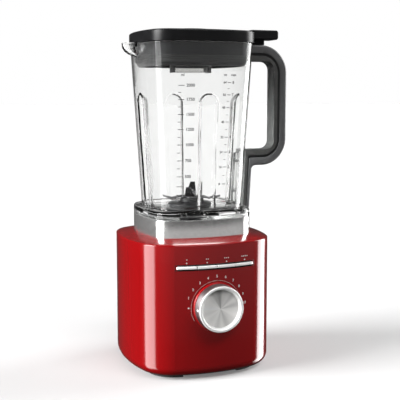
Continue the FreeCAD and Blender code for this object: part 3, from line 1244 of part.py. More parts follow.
def make_small_parts():
    collar_screws = [screw("collar_screw_%d" % k, 2.0, 9.5, 4.0, 2.2, x, y, size("collar_bottom") + size("collar_floor"),
                           -1) for k, (x, y) in enumerate(corners(46.0))]
    node(group("collar_screws", collar_screws), "collar_screws")
    plate_screws = [screw("plate_screw_%d" % k, 1.5, 18.0, 3.8, 2.0, x, y, size("base_bottom"), 1)
                    for k, (x, y) in enumerate(corners(size("post_reach")))]
    node(group("base_plate_screws", plate_screws), "base_plate_screws")
    turned("cord_gland", [(3.75, 93.8), (10.0, 93.8), (10.0, 96.4), (7.0, 96.4), (7.0, 100.2), (9.5, 100.2),
                          (8.5, 104.0), (3.75, 104.0)], "XY_Plane", "34")


def build():
    make_housing()
    make_base_plate()
    make_feet()
    make_collar()
    make_jar_pad()
    make_bezel()
    for index, x in enumerate(button_places()):
        make_button(index, x)
    make_lamps()
    make_dial()
    make_boards()
    make_stator()
    make_motor_frame()
    make_armature()
    make_couplings()
    make_jar()
    make_blade_unit()
    make_blades()
    make_handle()
    make_lid()
    make_lid_seal()
    make_cap()
    make_small_parts()
    doc.recompute()


def check_objects():
    for item in doc.Objects:
        if "Invalid" in item.State or "Error" in item.State:
            raise ValueError("%s: %s" % (item.Name, item.State))


def export_parts():
    os.makedirs("parts", exist_ok=True)
    for item in NODES:
        shape = item.Shape
        if shape.isNull() or not shape.isValid():
            raise ValueError("bad shape: " + item.Label)
        shape.exportStep("parts/" + item.Label + ".step")
        box = shape.BoundBox
        print("%-22s solids %2d  X %7.2f..%7.2f  Y %7.2f..%7.2f  Z %7.2f..%7.2f" % (
            item.Label, len(shape.Solids), box.XMin, box.XMax, box.YMin, box.YMax, box.ZMin, box.ZMax))


build()
check_objects()
export_parts()
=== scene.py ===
"""Countertop blender: the looks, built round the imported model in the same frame."""

import bpy
import bmesh
import json
import math
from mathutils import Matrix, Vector


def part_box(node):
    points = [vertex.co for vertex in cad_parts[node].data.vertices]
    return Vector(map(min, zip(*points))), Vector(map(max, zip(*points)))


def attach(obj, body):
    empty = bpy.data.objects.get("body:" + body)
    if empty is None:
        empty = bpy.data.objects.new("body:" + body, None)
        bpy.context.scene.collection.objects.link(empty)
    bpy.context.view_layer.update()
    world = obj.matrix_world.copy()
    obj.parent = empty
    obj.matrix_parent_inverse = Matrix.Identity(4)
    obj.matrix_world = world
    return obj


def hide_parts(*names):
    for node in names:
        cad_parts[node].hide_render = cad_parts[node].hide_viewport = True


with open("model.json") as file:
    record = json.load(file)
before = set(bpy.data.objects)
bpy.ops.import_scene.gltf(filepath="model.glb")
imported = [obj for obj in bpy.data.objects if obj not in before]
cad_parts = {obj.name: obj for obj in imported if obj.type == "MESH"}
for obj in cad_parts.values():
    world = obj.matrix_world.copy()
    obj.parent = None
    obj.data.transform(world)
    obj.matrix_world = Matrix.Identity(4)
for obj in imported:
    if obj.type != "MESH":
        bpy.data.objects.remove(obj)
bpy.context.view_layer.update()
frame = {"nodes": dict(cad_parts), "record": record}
scene = bpy.context.scene
scene.view_settings.view_transform = "Standard"

MM = 0.001
materials = {}

# brightness of the studio's parts
LEFT_BOX, RIGHT_BOX, FRONT_BOX = 10.0, 11.5, 8.0
TOP_LIGHT, BACK_LIGHT, ROOM_LIGHT, FRONT_LIGHT = 0.15, 0.02, 0.04, 0.38


# ------------------------------------------------------------------ camera


def make_camera():
    data = bpy.data.cameras.new("camera")
    data.sensor_width = 36.0
    data.lens = 76.88
    data.clip_start = 0.05
    data.clip_end = 60.0
    camera = bpy.data.objects.new("camera", data)
    camera.location = (-0.40853, -1.11257, 0.37316)
    camera.rotation_euler = (math.radians(82.976), 0.0, math.radians(-20.807))
    scene.collection.objects.link(camera)
    scene.camera = camera


# ---------------------------------------------------------- sizes, in millimetres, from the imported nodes


def span(node):
    low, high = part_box(node)
    return [v / MM for v in low], [v / MM for v in high]


housing_low, housing_high = span("base_housing")
collar_low, collar_high = span("jar_collar")
jar_low, jar_high = span("jar_body")
knob_low, knob_high = span("knob_body")
halo_low, halo_high = span("halo_ring")
bezel_low, bezel_high = span("button_bezel")
cap_low, cap_high = span("lid_cap")
cup_low, cup_high = span("dosing_cup")

BASE = (housing_high[0], housing_high[1], 55.8, 215.0)
COLLAR = (collar_high[0], collar_high[1], 27.8, 202.0)
BASE_BOTTOM = housing_low[2]
SHOULDER = 181.0
COLLAR_BOTTOM, COLLAR_TOP = collar_low[2], collar_high[2]
JAR_SEAT, JAR_RIM = jar_low[2], jar_high[2]
FOOT_TOP = 221.0
FLOOR = 220.0
WALL = 3.2
LID_UNDER, LID_TOP = 442.1, 457.0
SKIRT_END, COLLAR_END, CAP_WINDOW = 411.0, 403.0, 26.0
DIAL = (knob_low[2] + knob_high[2]) / 2
BUTTON_LEVEL = (bezel_low[2] + bezel_high[2]) / 2


# ------------------------------------------------------------------ mesh helpers


def place(name, verts, faces, material, body, nodes=(), angle=32):
    """A closed mesh in millimetres becomes a piece that rides on a body."""
    mesh = bpy.data.meshes.new(name)
    mesh.from_pydata([(x * MM, y * MM, z * MM) for x, y, z in verts], [], faces)
    mesh.validate()
    work = bmesh.new()
    work.from_mesh(mesh)
    bmesh.ops.remove_doubles(work, verts=work.verts, dist=1e-7)
    bmesh.ops.recalc_face_normals(work, faces=work.faces)
    work.to_mesh(mesh)
    work.free()
    piece = bpy.data.objects.new(name, mesh)
    scene.collection.objects.link(piece)
    mesh.materials.append(materials[material])
    finish_shading(mesh, angle)
    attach(piece, body)
    if nodes:
        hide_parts(*nodes)
    return piece


def finish_shading(mesh, angle):
    mesh.shade_smooth()
    mesh.set_sharp_from_angle(angle=math.radians(angle))


def apply_modifiers(piece, angle=32):
    """Bakes a piece's modifiers into its mesh."""
    bpy.context.view_layer.update()
    graph = bpy.context.evaluated_depsgraph_get()
    made = bpy.data.meshes.new_from_object(piece.evaluated_get(graph))
    old = piece.data
    piece.modifiers.clear()
    piece.data = made
    bpy.data.meshes.remove(old)
    finish_shading(made, angle)
    return piece


def loop_rings(rings, first=0):
    """Faces of a tube whose rings join round to the first again."""
    verts = [p for ring in rings for p in ring]
    count, wide = len(rings), len(rings[0])
    faces = []
    for k in range(count):
        a, b = first + k * wide, first + ((k + 1) % count) * wide
        for i in range(wide):
            j = (i + 1) % wide
            faces.append((a + i, a + j, b + j, b + i))
    return verts, faces


def lathe(profile, cuts=128, axis="Z", centre=(0.0, 0.0, 0.0)):
    """Turns a closed (radius, height) profile about an axis."""
    rings = []
    for k in range(cuts):
        angle = 2 * math.pi * k / cuts
        ring = []
        for radius, height in profile:
            a, b = radius * math.cos(angle), radius * math.sin(angle)
            if axis == "Z":
                ring.append((centre[0] + a, centre[1] + b, height))
            else:
                ring.append((centre[0] + a, height, centre[2] + b))
        rings.append(ring)
    verts, faces = loop_rings(rings)
    return verts, faces


def arc_points(cx, cz, radius, start, end, count):
    steps = [math.radians(start + (end - start) * k / count) for k in range(count + 1)]
    return [(cx + radius * math.cos(t), cz + radius * math.sin(t)) for t in steps]


def outline(shape, inset, level, marks, turn_cuts=18):
    """Ring of four bowed sides and four round corners, inset and set at a level."""
    half_x, half_y, corner, bow = (v - inset for v in shape)
    a, b = bow - half_y, bow - half_x
    reach = bow - corner
    p, q = half_x - corner, half_y - corner
    for _ in range(30):
        first = p * p + (q + a) ** 2 - reach ** 2
        second = (p + b) ** 2 + q * q - reach ** 2
        j11, j12, j21, j22 = 2 * p, 2 * (q + a), 2 * (p + b), 2 * q
        det = j11 * j22 - j12 * j21
        p -= (first * j22 - second * j12) / det
        q -= (second * j11 - first * j21) / det
    side, back = math.atan2(q, p + b), math.atan2(p, q + a)
    quarter = math.pi / 2
    scale = (bow - 0.0) / shape[3]
    points = []

    def add_side(cx, cy, middle, reach_angle):
        angles = [-reach_angle] + [math.asin(m * scale / bow) for m in marks] + [reach_angle]
        for t in angles:
            points.append((cx + bow * math.cos(middle + t), cy + bow * math.sin(middle + t), level))

    def add_corner(cx, cy, start, end):
        for k in range(1, turn_cuts):
            t = start + (end - start) * k / turn_cuts
            points.append((cx + corner * math.cos(t), cy + corner * math.sin(t), level))

    add_side(-b, 0, 0.0, side)
    add_corner(p, q, side, quarter - back)
    add_side(0, -a, quarter, back)
    add_corner(-p, q, quarter + back, 2 * quarter - side)
    add_side(b, 0, 2 * quarter, side)
    add_corner(-p, -q, 2 * quarter + side, 3 * quarter - back)
    add_side(0, a, 3 * quarter, back)
    add_corner(p, -q, 3 * quarter + back, 4 * quarter - side)
    return points


def to_circle(ring, radius, level):
    made = []
    for x, y, _ in ring:
        d = math.hypot(x, y)
        made.append((x / d * radius, y / d * radius, level))
    return made


def mix_rings(one, two, share, level):
    return [(a[0] + (b[0] - a[0]) * share, a[1] + (b[1] - a[1]) * share, level) for a, b in zip(one, two)]


def rounded_path(points, cuts=12):
    """Points along a closed polygon; a third number rounds that corner."""
    made = []
    count = len(points)
    for k, p in enumerate(points):
        here = Vector((p[0], p[1]))
        if len(p) < 3:
            made.append((here.x, here.y))
            continue
        before = (Vector(points[k - 1][:2]) - here).normalized()
        after = (Vector(points[(k + 1) % count][:2]) - here).normalized()
        angle = before.angle(after)
        centre = here + (before + after).normalized() * (p[2] / math.sin(angle / 2))
        start = here + before * (p[2] / math.tan(angle / 2)) - centre
        sweep = math.pi - angle
        if start.x * (here - centre).y - start.y * (here - centre).x < 0:
            sweep = -sweep
        for i in range(cuts + 1):
            t = sweep * i / cuts
            made.append((centre.x + start.x * math.cos(t) - start.y * math.sin(t),
                         centre.y + start.x * math.sin(t) + start.y * math.cos(t)))
    return made


def slab(name, contour, half_width, bevel, weights, material, body, nodes=(), segments=4):
    """Contour in XZ made into a slab along Y; weights(x, z) scales the bevel of its side edges."""
    count = len(contour)
    verts = [(x, -half_width, z) for x, z in contour] + [(x, half_width, z) for x, z in contour]
    faces = [tuple(range(count)), tuple(range(2 * count - 1, count - 1, -1))]
    faces += [(k, count + k, count + (k + 1) % count, (k + 1) % count) for k in range(count)]
    piece = place(name, verts, faces, material, body, nodes)
    mesh = piece.data
    layer = mesh.attributes.new("bevel_weight_edge", "FLOAT", "EDGE")
    for edge in mesh.edges:
        a, b = (mesh.vertices[v].co for v in edge.vertices)
        if abs(a.y - b.y) < 1e-6:
            layer.data[edge.index].value = weights((a.x + b.x) / 2 / MM, (a.z + b.z) / 2 / MM)
    modifier = piece.modifiers.new("bevel", "BEVEL")
    modifier.limit_method = "WEIGHT"
    modifier.width = bevel * MM
    modifier.segments = segments
    modifier.harden_normals = False
    return apply_modifiers(piece)


def soft_min(a, b, k):
    h = min(1.0, max(0.0, 0.5 + 0.5 * (b - a) / k))
    return b + (a - b) * h - k * h * (1 - h)


def soft_max(a, b, k):
    return -soft_min(-a, -b, k)


# ------------------------------------------------------------------ materials


def new_material(name, colour, rough, metallic=0.0, spread=0.08, colour_scale=60.0, grain=1500.0, bump=0.08,
                 rough_spread=0.06, stretch=(1.0, 1.0, 1.0), **sockets):
    """A surface with slight colour drift, uneven gloss and fine relief, all from noise."""
    material = bpy.data.materials.new(name)
    material.use_nodes = True
    tree = material.node_tree
    nodes, links = tree.nodes, tree.links
    shader = nodes["Principled BSDF"]
    coords = nodes.new("ShaderNodeTexCoord")
    mapping = nodes.new("ShaderNodeMapping")
    mapping.inputs["Scale"].default_value = stretch
    links.new(coords.outputs["Object"], mapping.inputs["Vector"])
    drift = nodes.new("ShaderNodeTexNoise")
    drift.inputs["Scale"].default_value = colour_scale
    drift.inputs["Detail"].default_value = 5.0
    links.new(mapping.outputs["Vector"], drift.inputs["Vector"])
    ramp = nodes.new("ShaderNodeValToRGB")
    ramp.color_ramp.elements[0].position = 0.3
    ramp.color_ramp.elements[1].position = 0.7
    ramp.color_ramp.elements[0].color = tuple(c * (1 - spread) for c in colour) + (1.0,)
    ramp.color_ramp.elements[1].color = tuple(min(1.0, c * (1 + spread)) for c in colour) + (1.0,)
    links.new(drift.outputs["Fac"], ramp.inputs["Fac"])
    links.new(ramp.outputs["Color"], shader.inputs["Base Color"])
    fine = nodes.new("ShaderNodeTexNoise")
    fine.inputs["Scale"].default_value = grain
    fine.inputs["Detail"].default_value = 3.0
    links.new(mapping.outputs["Vector"], fine.inputs["Vector"])
    gloss = nodes.new("ShaderNodeMapRange")
    gloss.inputs["To Min"].default_value = max(0.0, rough - rough_spread)
    gloss.inputs["To Max"].default_value = rough + rough_spread
    links.new(drift.outputs["Fac"], gloss.inputs["Value"])
    links.new(gloss.outputs["Result"], shader.inputs["Roughness"])
    relief = nodes.new("ShaderNodeBump")
    relief.inputs["Strength"].default_value = bump
    relief.inputs["Distance"].default_value = 0.0002
    links.new(fine.outputs["Fac"], relief.inputs["Height"])
    links.new(relief.outputs["Normal"], shader.inputs["Normal"])
    shader.inputs["Metallic"].default_value = metallic
    for key, value in sockets.items():
        shader.inputs[key.replace("_", " ")].default_value = value
    materials[name] = material
    return material


def clear_material(name, colour, rough, ior):
    """Clear moulding that lets the lamps through."""
    material = new_material(name, colour, rough, spread=0.01, grain=90.0, bump=0.015, rough_spread=rough / 2)
    tree = material.node_tree
    nodes, links = tree.nodes, tree.links
    shader = nodes["Principled BSDF"]
    shader.inputs["Transmission Weight"].default_value = 1.0
    shader.inputs["Specular Tint"].default_value = (0.3, 0.3, 0.3, 1.0)
    shader.inputs["IOR"].default_value = ior
    output = [n for n in nodes if n.type == "OUTPUT_MATERIAL"][0]
    clear = nodes.new("ShaderNodeBsdfTransparent")
    clear.inputs["Color"].default_value = (0.94, 0.95, 0.95, 1.0)
    paths = nodes.new("ShaderNodeLightPath")
    both = nodes.new("ShaderNodeMixShader")
    links.new(paths.outputs["Is Shadow Ray"], both.inputs["Fac"])
    links.new(shader.outputs["BSDF"], both.inputs[1])
    links.new(clear.outputs["BSDF"], both.inputs[2])
    links.new(both.outputs["Shader"], output.inputs["Surface"])
    return material


def spun_material(name, colour, rough, metallic, anisotropic, turns, painted_reflection_sectors=(), polished_from=0.0):
    """Metal turned on a lathe: fine rings about the knob's axis and light that fans out from its centre; an
    optional list of (angle, share) wedges paints bright and dark reflection into the base colour by angle
    round the axis.
    """
    material = new_material(name, colour, rough, metallic=metallic, spread=0.05, bump=0.02)
    tree = material.node_tree
    nodes, links = tree.nodes, tree.links
    shader = nodes["Principled BSDF"]
    coords = [n for n in nodes if n.type == "TEX_COORD"][0]
    centred = nodes.new("ShaderNodeVectorMath")
    centred.operation = "SUBTRACT"
    centred.inputs[1].default_value = (0.0, 0.0, DIAL * MM)
    links.new(coords.outputs["Object"], centred.inputs[0])
    flat = nodes.new("ShaderNodeVectorMath")
    flat.operation = "MULTIPLY"
    flat.inputs[1].default_value = (1.0, 0.0, 1.0)
    links.new(centred.outputs["Vector"], flat.inputs[0])
    length = nodes.new("ShaderNodeVectorMath")
    length.operation = "LENGTH"
    links.new(flat.outputs["Vector"], length.inputs[0])
    rings = nodes.new("ShaderNodeTexNoise")
    rings.noise_dimensions = "1D"
    rings.inputs["Scale"].default_value = turns
    rings.inputs["Detail"].default_value = 6.0
    links.new(length.outputs["Value"], rings.inputs["W"])
    relief = [n for n in nodes if n.type == "BUMP"][0]
    relief.inputs["Strength"].default_value = 0.12
    relief.inputs["Distance"].default_value = 0.00005
    links.new(rings.outputs["Fac"], relief.inputs["Height"])
    unit = nodes.new("ShaderNodeVectorMath")
    unit.operation = "NORMALIZE"
    links.new(flat.outputs["Vector"], unit.inputs[0])
    tangent = nodes.new("ShaderNodeVectorMath")
    tangent.operation = "ADD"
    tangent.inputs[1].default_value = (0.0, 0.4, 0.0)
    links.new(unit.outputs["Vector"], tangent.inputs[0])
    links.new(tangent.outputs["Vector"], shader.inputs["Tangent"])
    shader.inputs["Anisotropic"].default_value = anisotropic
    if polished_from:
        band = nodes.new("ShaderNodeMapRange")
        band.inputs["From Min"].default_value = (polished_from - 0.1) * MM
        band.inputs["From Max"].default_value = (polished_from + 0.1) * MM
        links.new(length.outputs["Value"], band.inputs["Value"])
        tone = nodes.new("ShaderNodeValToRGB")
        tone.color_ramp.elements[0].color = colour + (1.0,)
        tone.color_ramp.elements[1].color = (0.3, 0.27, 0.275, 1.0)
        links.new(band.outputs["Result"], tone.inputs["Fac"])
        links.new(tone.outputs["Color"], shader.inputs["Base Color"])
        shine = nodes.new("ShaderNodeMapRange")
        shine.inputs["To Min"].default_value = metallic
        links.new(band.outputs["Result"], shine.inputs["Value"])
        links.new(shine.outputs["Result"], shader.inputs["Metallic"])
    # painted reflection: bright and dark wedges by angle round the dial's axis are set into the base colour,
    # standing in for the fans of light on the turned face
    if painted_reflection_sectors:
        axes = nodes.new("ShaderNodeSeparateXYZ")
        links.new(centred.outputs["Vector"], axes.inputs["Vector"])
        turn = nodes.new("ShaderNodeMath")
        turn.operation = "ARCTAN2"
        links.new(axes.outputs["Z"], turn.inputs[0])
        links.new(axes.outputs["X"], turn.inputs[1])
        spread = nodes.new("ShaderNodeMapRange")
        spread.inputs["From Min"].default_value = -math.pi
        spread.inputs["From Max"].default_value = math.pi
        links.new(turn.outputs["Value"], spread.inputs["Value"])
        painted_reflection_fan = nodes.new("ShaderNodeValToRGB")
        painted_reflection_fan.color_ramp.interpolation = "EASE"
        stops = [painted_reflection_fan.color_ramp.elements[0], painted_reflection_fan.color_ramp.elements[1]]
        stops[1:1] = [painted_reflection_fan.color_ramp.elements.new((degrees + 180.0) / 360.0) for degrees, _ in painted_reflection_sectors[1:-1]]
        for stop, (_, share) in zip(sorted(stops, key=lambda e: e.position), painted_reflection_sectors):
            stop.color = tuple(c * share for c in colour) + (1.0,)
        links.new(spread.outputs["Result"], painted_reflection_fan.inputs["Fac"])
        links.new(painted_reflection_fan.outputs["Color"], shader.inputs["Base Color"])
    return material


def make_materials():
    new_material("red_paint", (0.215, 0.0014, 0.0024), 0.25, spread=0.03, colour_scale=900.0, grain=260.0,
                 bump=0.02, rough_spread=0.03, Specular_IOR_Level=0.1, Coat_Weight=1.0, Coat_IOR=1.4,
                 Coat_Roughness=0.03)
    new_material("black_plastic", (0.007, 0.007, 0.0075), 0.36, spread=0.2, grain=2600.0, bump=0.1,
                 Specular_IOR_Level=0.35)
    new_material("soft_rubber", (0.018, 0.018, 0.019), 0.75, spread=0.25, grain=1800.0, bump=0.25)
    new_material("seal_rubber", (0.006, 0.006, 0.006), 0.5, spread=0.2, grain=1800.0, bump=0.1)
    new_material("satin_cast", (0.88, 0.88, 0.87), 0.2, metallic=0.92, spread=0.06, colour_scale=220.0,
                 grain=1600.0, bump=0.05)
    new_material("turned_steel", (0.42, 0.42, 0.43), 0.3, metallic=1.0, spread=0.1, grain=700.0, bump=0.1,
                 stretch=(1.0, 1.0, 9.0))
    new_material("green_board", (0.012, 0.12, 0.05), 0.4, spread=0.3, colour_scale=180.0, grain=1200.0,
                 bump=0.15)
    new_material("stacked_sheets", (0.16, 0.16, 0.17), 0.45, metallic=0.9, spread=0.3, grain=900.0, bump=0.4,
                 stretch=(0.05, 0.05, 2.0))
    new_material("wound_copper", (0.55, 0.2, 0.07), 0.3, metallic=0.9, spread=0.25, grain=900.0, bump=0.5,
                 stretch=(1.0, 1.0, 0.08))
    new_material("cast_alloy", (0.4, 0.4, 0.41), 0.5, metallic=0.9, spread=0.15, grain=1400.0, bump=0.3)
    new_material("machined_brass", (0.55, 0.36, 0.12), 0.3, metallic=1.0, spread=0.1, grain=1200.0, bump=0.1)
    new_material("pressed_carbon", (0.02, 0.02, 0.021), 0.6, spread=0.3, grain=2200.0, bump=0.3)
    new_material("chrome_button", (0.93, 0.93, 0.92), 0.34, metallic=0.15, spread=0.03, grain=900.0,
                 bump=0.03, rough_spread=0.04, stretch=(0.08, 1.0, 1.0))
    new_material("white_insert", (0.82, 0.82, 0.8), 0.4, spread=0.04, grain=1600.0, bump=0.06)
    new_material("light_pipe", (0.75, 0.74, 0.7), 0.15, spread=0.05, grain=1200.0, bump=0.03, Coat_Weight=0.6)
    new_material("halo_red", (0.42, 0.004, 0.006), 0.18, spread=0.05, grain=500.0, bump=0.03, Coat_Weight=1.0)
    new_material("grey_shell", (0.09, 0.09, 0.092), 0.36, spread=0.1, colour_scale=120.0, grain=2600.0,
                 bump=0.14)
    new_material("grip_black", (0.06, 0.06, 0.058), 0.36, spread=0.15, colour_scale=120.0, grain=2400.0,
                 bump=0.12)
    new_material("lid_plastic", (0.0055, 0.0055, 0.006), 0.35, spread=0.15, colour_scale=90.0, grain=1500.0,
                 bump=0.008, rough_spread=0.03, Specular_IOR_Level=0.22)
    new_material("ground_steel", (0.12, 0.12, 0.125), 0.22, metallic=1.0, spread=0.12, grain=700.0, bump=0.12,
                 stretch=(0.1, 1.0, 1.0))
    new_material("panel_ink", (0.72, 0.7, 0.68), 0.5, spread=0.06, grain=2400.0, bump=0.1)
    new_material("scale_ink", (0.006, 0.006, 0.006), 0.6, spread=0.12, grain=2400.0, bump=0.1)
    clear_material("clear_copolyester", (0.95, 0.952, 0.948), 0.02, 1.5)
    clear_material("clear_cup_plastic", (0.72, 0.72, 0.71), 0.03, 1.5)
    # painted reflection: (angle, share) wedges that brighten and darken the knob disc's base colour round its
    # axis
    painted_reflection_fan = ((-180, 0.98), (-165, 1.0), (-150, 0.9), (-135, 1.0), (-118, 0.92), (-100, 0.95), (-86, 0.72),
           (-70, 0.82), (-45, 0.62), (-25, 0.85), (-5, 1.0), (12, 0.94), (30, 0.72), (48, 0.98), (58, 0.72),
           (80, 0.8), (95, 0.7), (115, 0.32), (130, 0.5), (150, 0.85), (180, 0.98))
    spun_material("spun_disc", (1.0, 0.99, 0.97), 0.6, 0.3, 0.8, 26000.0, painted_reflection_fan)
    spun_material("turned_knob", (0.94, 0.94, 0.93), 0.4, 0.25, 0.4, 9000.0, polished_from=30.45)


SLOT_LOOKS = {
    "red_shell": "red_paint", "dark_plastic": "black_plastic", "rubber": "soft_rubber",
    "cast_collar": "satin_cast", "lamp": "light_pipe", "halo": "halo_red", "steel_parts": "turned_steel",
    "board": "green_board", "laminations": "stacked_sheets", "copper": "wound_copper",
    "cast_bracket": "cast_alloy", "brass_parts": "machined_brass", "carbon": "pressed_carbon",
    "knob_metal": "turned_knob", "knob_face_metal": "spun_disc", "pointer_white": "white_insert",
    "button_metal": "chrome_button", "clear_jar": "clear_copolyester", "clear_cup": "clear_cup_plastic",
    "handle_grey": "grey_shell", "handle_black": "grip_black", "blade_steel": "ground_steel",
    "lid_black": "lid_plastic",
}


def dress_cad_nodes():
    """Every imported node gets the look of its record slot."""
    slots = {row["node"]: row["material_slot"] for row in frame["record"]["subparts"]}
    for name, piece in frame["nodes"].items():
        look = materials[SLOT_LOOKS[slots[name]]]
        if not piece.material_slots:
            piece.data.materials.append(look)
        for item in piece.material_slots:
            item.material = look


# ------------------------------------------------------------------ motor base


BASE_MARKS = [-55.7] + [-50 + 5 * k for k in range(21)] + [55.7]
SMALL_MARKS = [-36 + 6 * k for k in range(13)]


def make_housing():
    slot_low, slot_high = bezel_low[2] - 0.1, bezel_high[2] + 0.1
    rows = []

    def row(inset, level):
        rows.append(outline(BASE, inset, level, BASE_MARKS, 24))

    for r, z in arc_points(14.0, BASE_BOTTOM + 14.0, 14.0, 270, 180, 10):
        row(r, z)
    row(0, 60)
    row(0, 110)
    outer_low = len(rows)
    row(0, slot_low)
    row(0, slot_high)
    row(0, SHOULDER - 1.5)
    for inset, rise in ((0.1, -0.95), (0.4, -0.45), (0.85, -0.07), (1.4, 0.2), (2.0, 0.39)):
        row(inset, SHOULDER + rise)
    low_ring = outline(BASE, 2.0, 0, BASE_MARKS, 24)
    high_ring = outline(COLLAR, 0, 0, [m * 0.72 for m in BASE_MARKS], 24)
    rise = COLLAR_BOTTOM - SHOULDER - 0.39
    for share in (0.25, 0.5, 0.75, 1.0):
        rows.append(mix_rings(low_ring, high_ring, share, SHOULDER + 0.39 + rise * share))
    rows.append(to_circle(rows[-1], 34.0, COLLAR_BOTTOM))
    rows.append(to_circle(rows[-1], 34.0, SHOULDER - 4))
    row(3, SHOULDER - 4)
    inner_high = len(rows)
    row(3, slot_high)
    row(3, slot_low)
    row(3, 60)
    row(3, 14.2)
    row(9.5, 14.2)
    row(9.5, BASE_BOTTOM + 3)
    row(17, BASE_BOTTOM + 3)
    row(17, BASE_BOTTOM)
    verts, faces = loop_rings(rows)
    wide = len(rows[0])
    side = len(BASE_MARKS) + 2
    start = 3 * side + 3 * 23 + 1
    end = start + len(BASE_MARKS) - 1
    dropped = set()
    for level in (outer_low, inner_high):
        for i in range(start, end):
            dropped.add(level * wide + i)
    kept = [f for k, f in enumerate(faces) if k not in dropped]
    a, b = outer_low * wide, (outer_low + 1) * wide
    c, d = inner_high * wide, (inner_high + 1) * wide
    for i in range(start, end):
        kept.append((a + i, a + i + 1, d + i + 1, d + i))
        kept.append((b + i, b + i + 1, c + i + 1, c + i))
    for i in (start, end):
        kept.append((a + i, b + i, c + i, d + i))
    place("housing_shell", verts, kept, "red_paint", "base", ["base_housing"])


def make_collar():
    rows = []
    shape = COLLAR
    for inset, level in ((0, COLLAR_BOTTOM), (0, COLLAR_TOP - 0.7), (0.2, COLLAR_TOP - 0.2),
                         (0.7, COLLAR_TOP),
                         (3.3, COLLAR_TOP), (3.8, COLLAR_TOP - 0.2), (4.0, COLLAR_TOP - 0.7),
                         (4.0, COLLAR_BOTTOM + 3)):
        rows.append(outline(shape, inset, level, SMALL_MARKS))
    rows.append(to_circle(rows[-1], 20.0, COLLAR_BOTTOM + 3))
    rows.append(to_circle(rows[-1], 20.0, COLLAR_BOTTOM))
    verts, faces = loop_rings(rows)
    place("collar_shell", verts, faces, "satin_cast", "base", ["jar_collar"])


def front_wall(x):
    """Y of the bowed front wall at a place along X."""
    centre = BASE[3] - BASE[1]
    return centre - math.sqrt(BASE[3] ** 2 - x * x)


def make_bezel():
    wide, tall = bezel_high[0], (bezel_high[2] - bezel_low[2]) / 2
    rings = []

    def rectangle(half_wide, half_tall, depth):
        ring = []
        steps = 24
        corner = [(-half_wide + 2 * half_wide * k / steps, -half_tall) for k in range(steps + 1)]
        corner += [(half_wide, 0.0)]
        corner += [(half_wide - 2 * half_wide * k / steps, half_tall) for k in range(steps + 1)]
        corner += [(-half_wide, 0.0)]
        for x, z in corner:
            ring.append((x, front_wall(x) + depth, BUTTON_LEVEL + z))
        rings.append(ring)

    rectangle(wide, tall, 9.0)
    rectangle(wide, tall, -0.15)
    rectangle(wide - 0.2, tall - 0.2, -0.3)
    rectangle(wide - 0.45, tall - 0.45, -0.3)
    rectangle(wide - 0.55, tall - 0.5, -0.1)
    rectangle(wide - 0.55, tall - 0.5, 9.0)
    verts, faces = loop_rings(rings)
    place("button_frame", verts, faces, "black_plastic", "base", ["button_bezel"])


def make_button(index):
    label = "button_%d" % (index + 1)
    low, high = span(label)
    x0, x1 = low[0] + (0.0 if index == 0 else 0.4), high[0] - (0.0 if index == 3 else 0.4)
    half = high[2] - BUTTON_LEVEL
    proud, depth = 1.6, 6.0
    section = [(depth, -1.0), (-proud + 0.9, -1.0)]
    section += [(-proud + 0.9 - 0.9 * math.sin(t), -1.0 + 0.42 * (1 - math.cos(t)))
                for t in (0.4, 0.8, 1.2, math.pi / 2)]
    section += [(-proud - 0.0, 0.0)]
    section += [(d, -h) for d, h in reversed(section[:-1])]
    ends = [0.0, 0.12, 0.35, 0.7, 1.2, 1.8]
    places = [x0 + e for e in ends] + [x0 + 1.8 + (x1 - x0 - 3.6) * k / 12 for k in range(1, 12)]
    places += [x1 - e for e in reversed(ends)]
    verts = []
    for x in places:
        scale, lift = 1.0, 0.0
        near_low, near_high = x - x0, x1 - x
        near = min(near_low, near_high)
        outer = (index == 0 and near_low < 1.8) or (index == 3 and near_high < 1.8)
        if outer:
            t = 1 - near / 1.8
            scale = math.sqrt(max(0.02, 1 - t * t * 0.92))
            lift = 0.9 * (1 - math.sqrt(max(0.0, 1 - t * t)))
        elif near < 0.7:
            t = 1 - near / 0.7
            scale = 1 - 0.05 * t
            lift = 0.4 * (1 - math.sqrt(max(0.0, 1 - t * t)))
        for d, h in section:
            back = lift if d < 0 else 0.0
            verts.append((x, front_wall(x) + d + back, BUTTON_LEVEL + h * half * scale))
    wide = len(section)
    faces = []
    for k in range(len(places) - 1):
        for i in range(wide):
            j = (i + 1) % wide
            faces.append((k * wide + i, k * wide + j, (k + 1) * wide + j, (k + 1) * wide + i))
    faces.append(tuple(range(wide)))
    faces.append(tuple(range((len(places) - 1) * wide, len(places) * wide)))
    bodies = ("power_button", "blend_button", "ice_button", "rinse_button")
    place("key_%d" % (index + 1), verts, faces, "chrome_button", bodies[index], [label], 50)


def make_lamps():
    verts, faces = [], []
    for x in (-40.5, -13.5, 13.5, 40.5):
        face = front_wall(x)
        profile = [(0.0, face + 1.5), (0.9, face + 1.5), (0.9, face - 0.05), (0.6, face - 0.22),
                   (0.0, face - 0.3)]
        more, quads = lathe(profile, 20, "Y", (x, 0, 157.5))
        faces += [tuple(v + len(verts) for v in q) for q in quads]
        verts += more
    place("lamp_lenses", verts, faces, "light_pipe", "base", ["indicator_lamps"])


